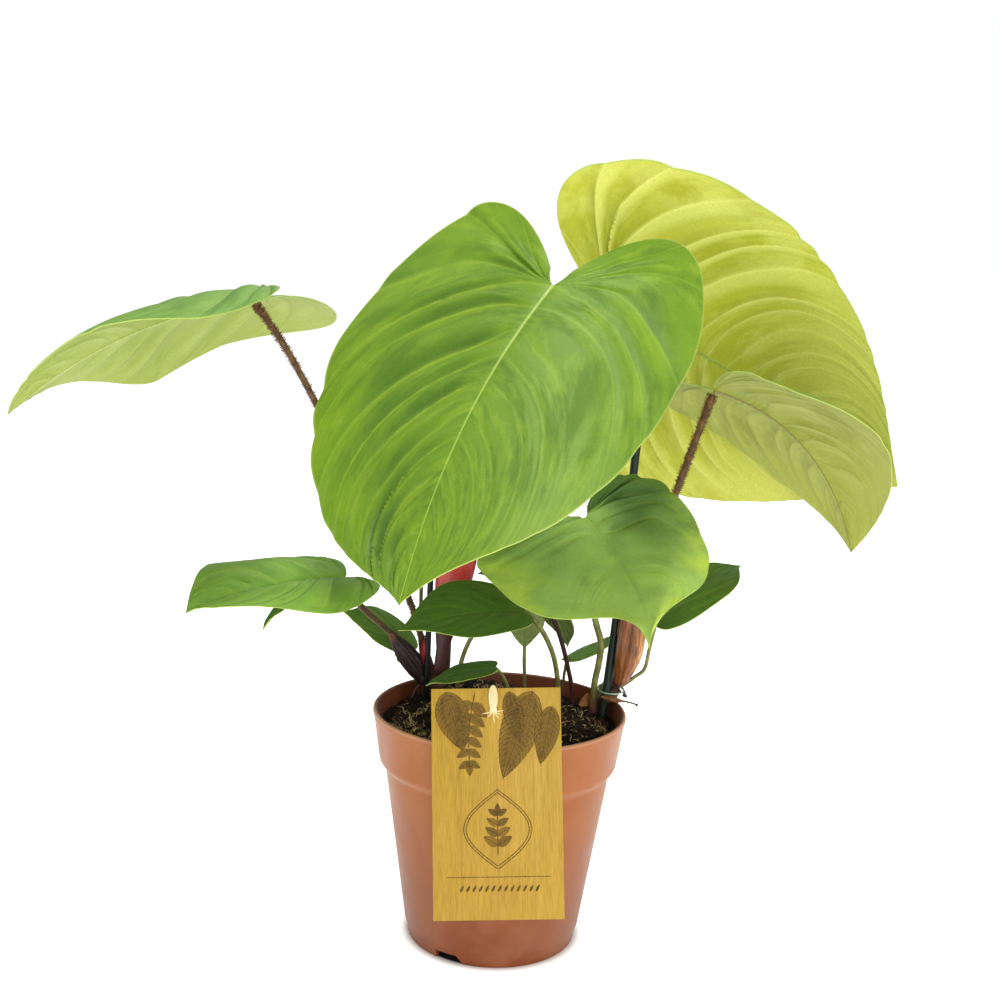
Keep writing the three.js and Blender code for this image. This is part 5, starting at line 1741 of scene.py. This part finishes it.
    def printed_leaves(self):
        """Four leaves and a twig hang from the top edge. A framed twig stands below, over a rule."""
        places = self.drawn_leaf((16, -1.5), 200, 39, 8.2, 15)
        places += self.drawn_leaf((24, -8), 192, 25, 5.2, 10)
        places += self.drawn_leaf((-22, -1.5), 163, 26, 7.0, 11)
        places += self.twig((-9, -1.5), 196, 30, -18, 6, 8.6)
        places += self.drawn_leaf((5.5, -1.5), 168, 22, 4.2, 9)
        places += self.twig((0, -71), 0, 17, 0, 4, 7)
        for grown in (1, 1.08):
            for side in (-1, 1):
                arch = [(side * 13.5 * grown * math.cos(0.5 * math.pi * t), -60 + 15.5 * grown * t) for t in
                        (-1 + i / 12 for i in range(25))]
                places += self.line(arch, 0.42)
        places += self.line([(-22 + 2 * i, -80) for i in range(23)], 0.35)
        for i in range(13):
            places += self.line([(-16.4 + 2.7 * i, -86.2), (-15.2 + 2.7 * i, -84)], 1.1)
        return copies_of(self.leaflet(), places)

    def slits(self):
        """The short star cut in the card under the peg, where its edges catch the light."""
        foot = (self.peg_x, -self.peg_drop - 0.6)
        spokes = ((-100, 5.4), (-132, 3.6), (176, 5.2), (140, 4.2), (112, 3.8), (84, 4.8))
        cuts = [self.flat(*foot, angle, length, 0.62, 0.08) for angle, length in spokes]
        return copies_of(self.leaflet(), cuts)

    def peg(self):
        """An oval head in front of the card, its pin, and the flat stick behind it down into the soil."""
        deselect()
        bpy.ops.mesh.primitive_cylinder_add(vertices=40, radius=0.5, depth=1, rotation=(math.pi / 2, 0, 0))
        head = bpy.context.object
        bpy.ops.object.transform_apply(rotation=True)
        for vertex in head.data.vertices:
            vertex.co.x *= 4.0 * (1 + 0.25 * vertex.co.z) * MM
            vertex.co.y = (vertex.co.y * 1.2 - 1.3) * MM
            vertex.co.z = (vertex.co.z * 12 - self.peg_drop + 5) * MM
            vertex.co.x += self.peg_x * MM
        bpy.ops.object.mode_set(mode="EDIT")
        bpy.ops.mesh.select_all(action="SELECT")
        bpy.ops.mesh.bevel(offset=0.35 * MM, segments=3)
        bpy.ops.object.mode_set(mode="OBJECT")
        pin = self.block((3.2, 4.2, 2.0), (self.peg_x, 0.9, -self.peg_drop))
        peg = join(head, pin)
        peg.matrix_world = self.on_card()
        foot, top = Vector((-2.6, -49.5, 80)), Vector((-2.6, -55.8, 131))
        stick = self.block((3.2, 1.2, (top - foot).length), (0, 0, (top - foot).length / 2))
        turn = Vector((0, 0, 1)).rotation_difference(top - foot).to_matrix().to_4x4()
        stick.matrix_world = Matrix.Translation(foot * MM) @ turn
        whole = join(peg, stick)
        smooth(whole, 35)
        return whole


class PLANT_PT_panel(bpy.types.Panel):
    """Lists the steps and the settings of the plant"""

    bl_idname = "PLANT_PT_panel"
    bl_label = "Potted philodendron"
    bl_space_type = "VIEW_3D"
    bl_region_type = "UI"
    bl_category = "Plant"

    def draw(self, context):
        for operator in OPERATORS:
            self.layout.operator(operator.bl_idname)
        for label, group in SETTINGS.items():
            box = self.layout.box()
            settings = getattr(context.scene, label)
            for name in group.__annotations__:
                box.prop(settings, name)


SETTINGS = {
    "plant_studio": StudioSettings, "plant_pot": PotSettings, "plant_soil": SoilSettings,
    "plant_leaves": LeafSettings, "plant_stalks": StalkSettings, "plant_card": CardSettings,
}
OPERATORS = (
    PLANT_OT_stage, PLANT_OT_pot, PLANT_OT_soil, PLANT_OT_stems, PLANT_OT_leaves, PLANT_OT_stalks,
    PLANT_OT_sheaths, PLANT_OT_stakes, PLANT_OT_card,
)
CLASSES = (*SETTINGS.values(), *OPERATORS, PLANT_PT_panel)


def register():
    for kind in CLASSES:
        bpy.utils.register_class(kind)
    for label, group in SETTINGS.items():
        setattr(bpy.types.Scene, label, PointerProperty(type=group))


def unregister():
    for label in SETTINGS:
        delattr(bpy.types.Scene, label)
    for kind in reversed(CLASSES):
        bpy.utils.unregister_class(kind)


def main():
    register()
    for operator in OPERATORS:
        getattr(bpy.ops.plant, operator.bl_idname.split(".")[1])()


if __name__ == "__main__":
    main()
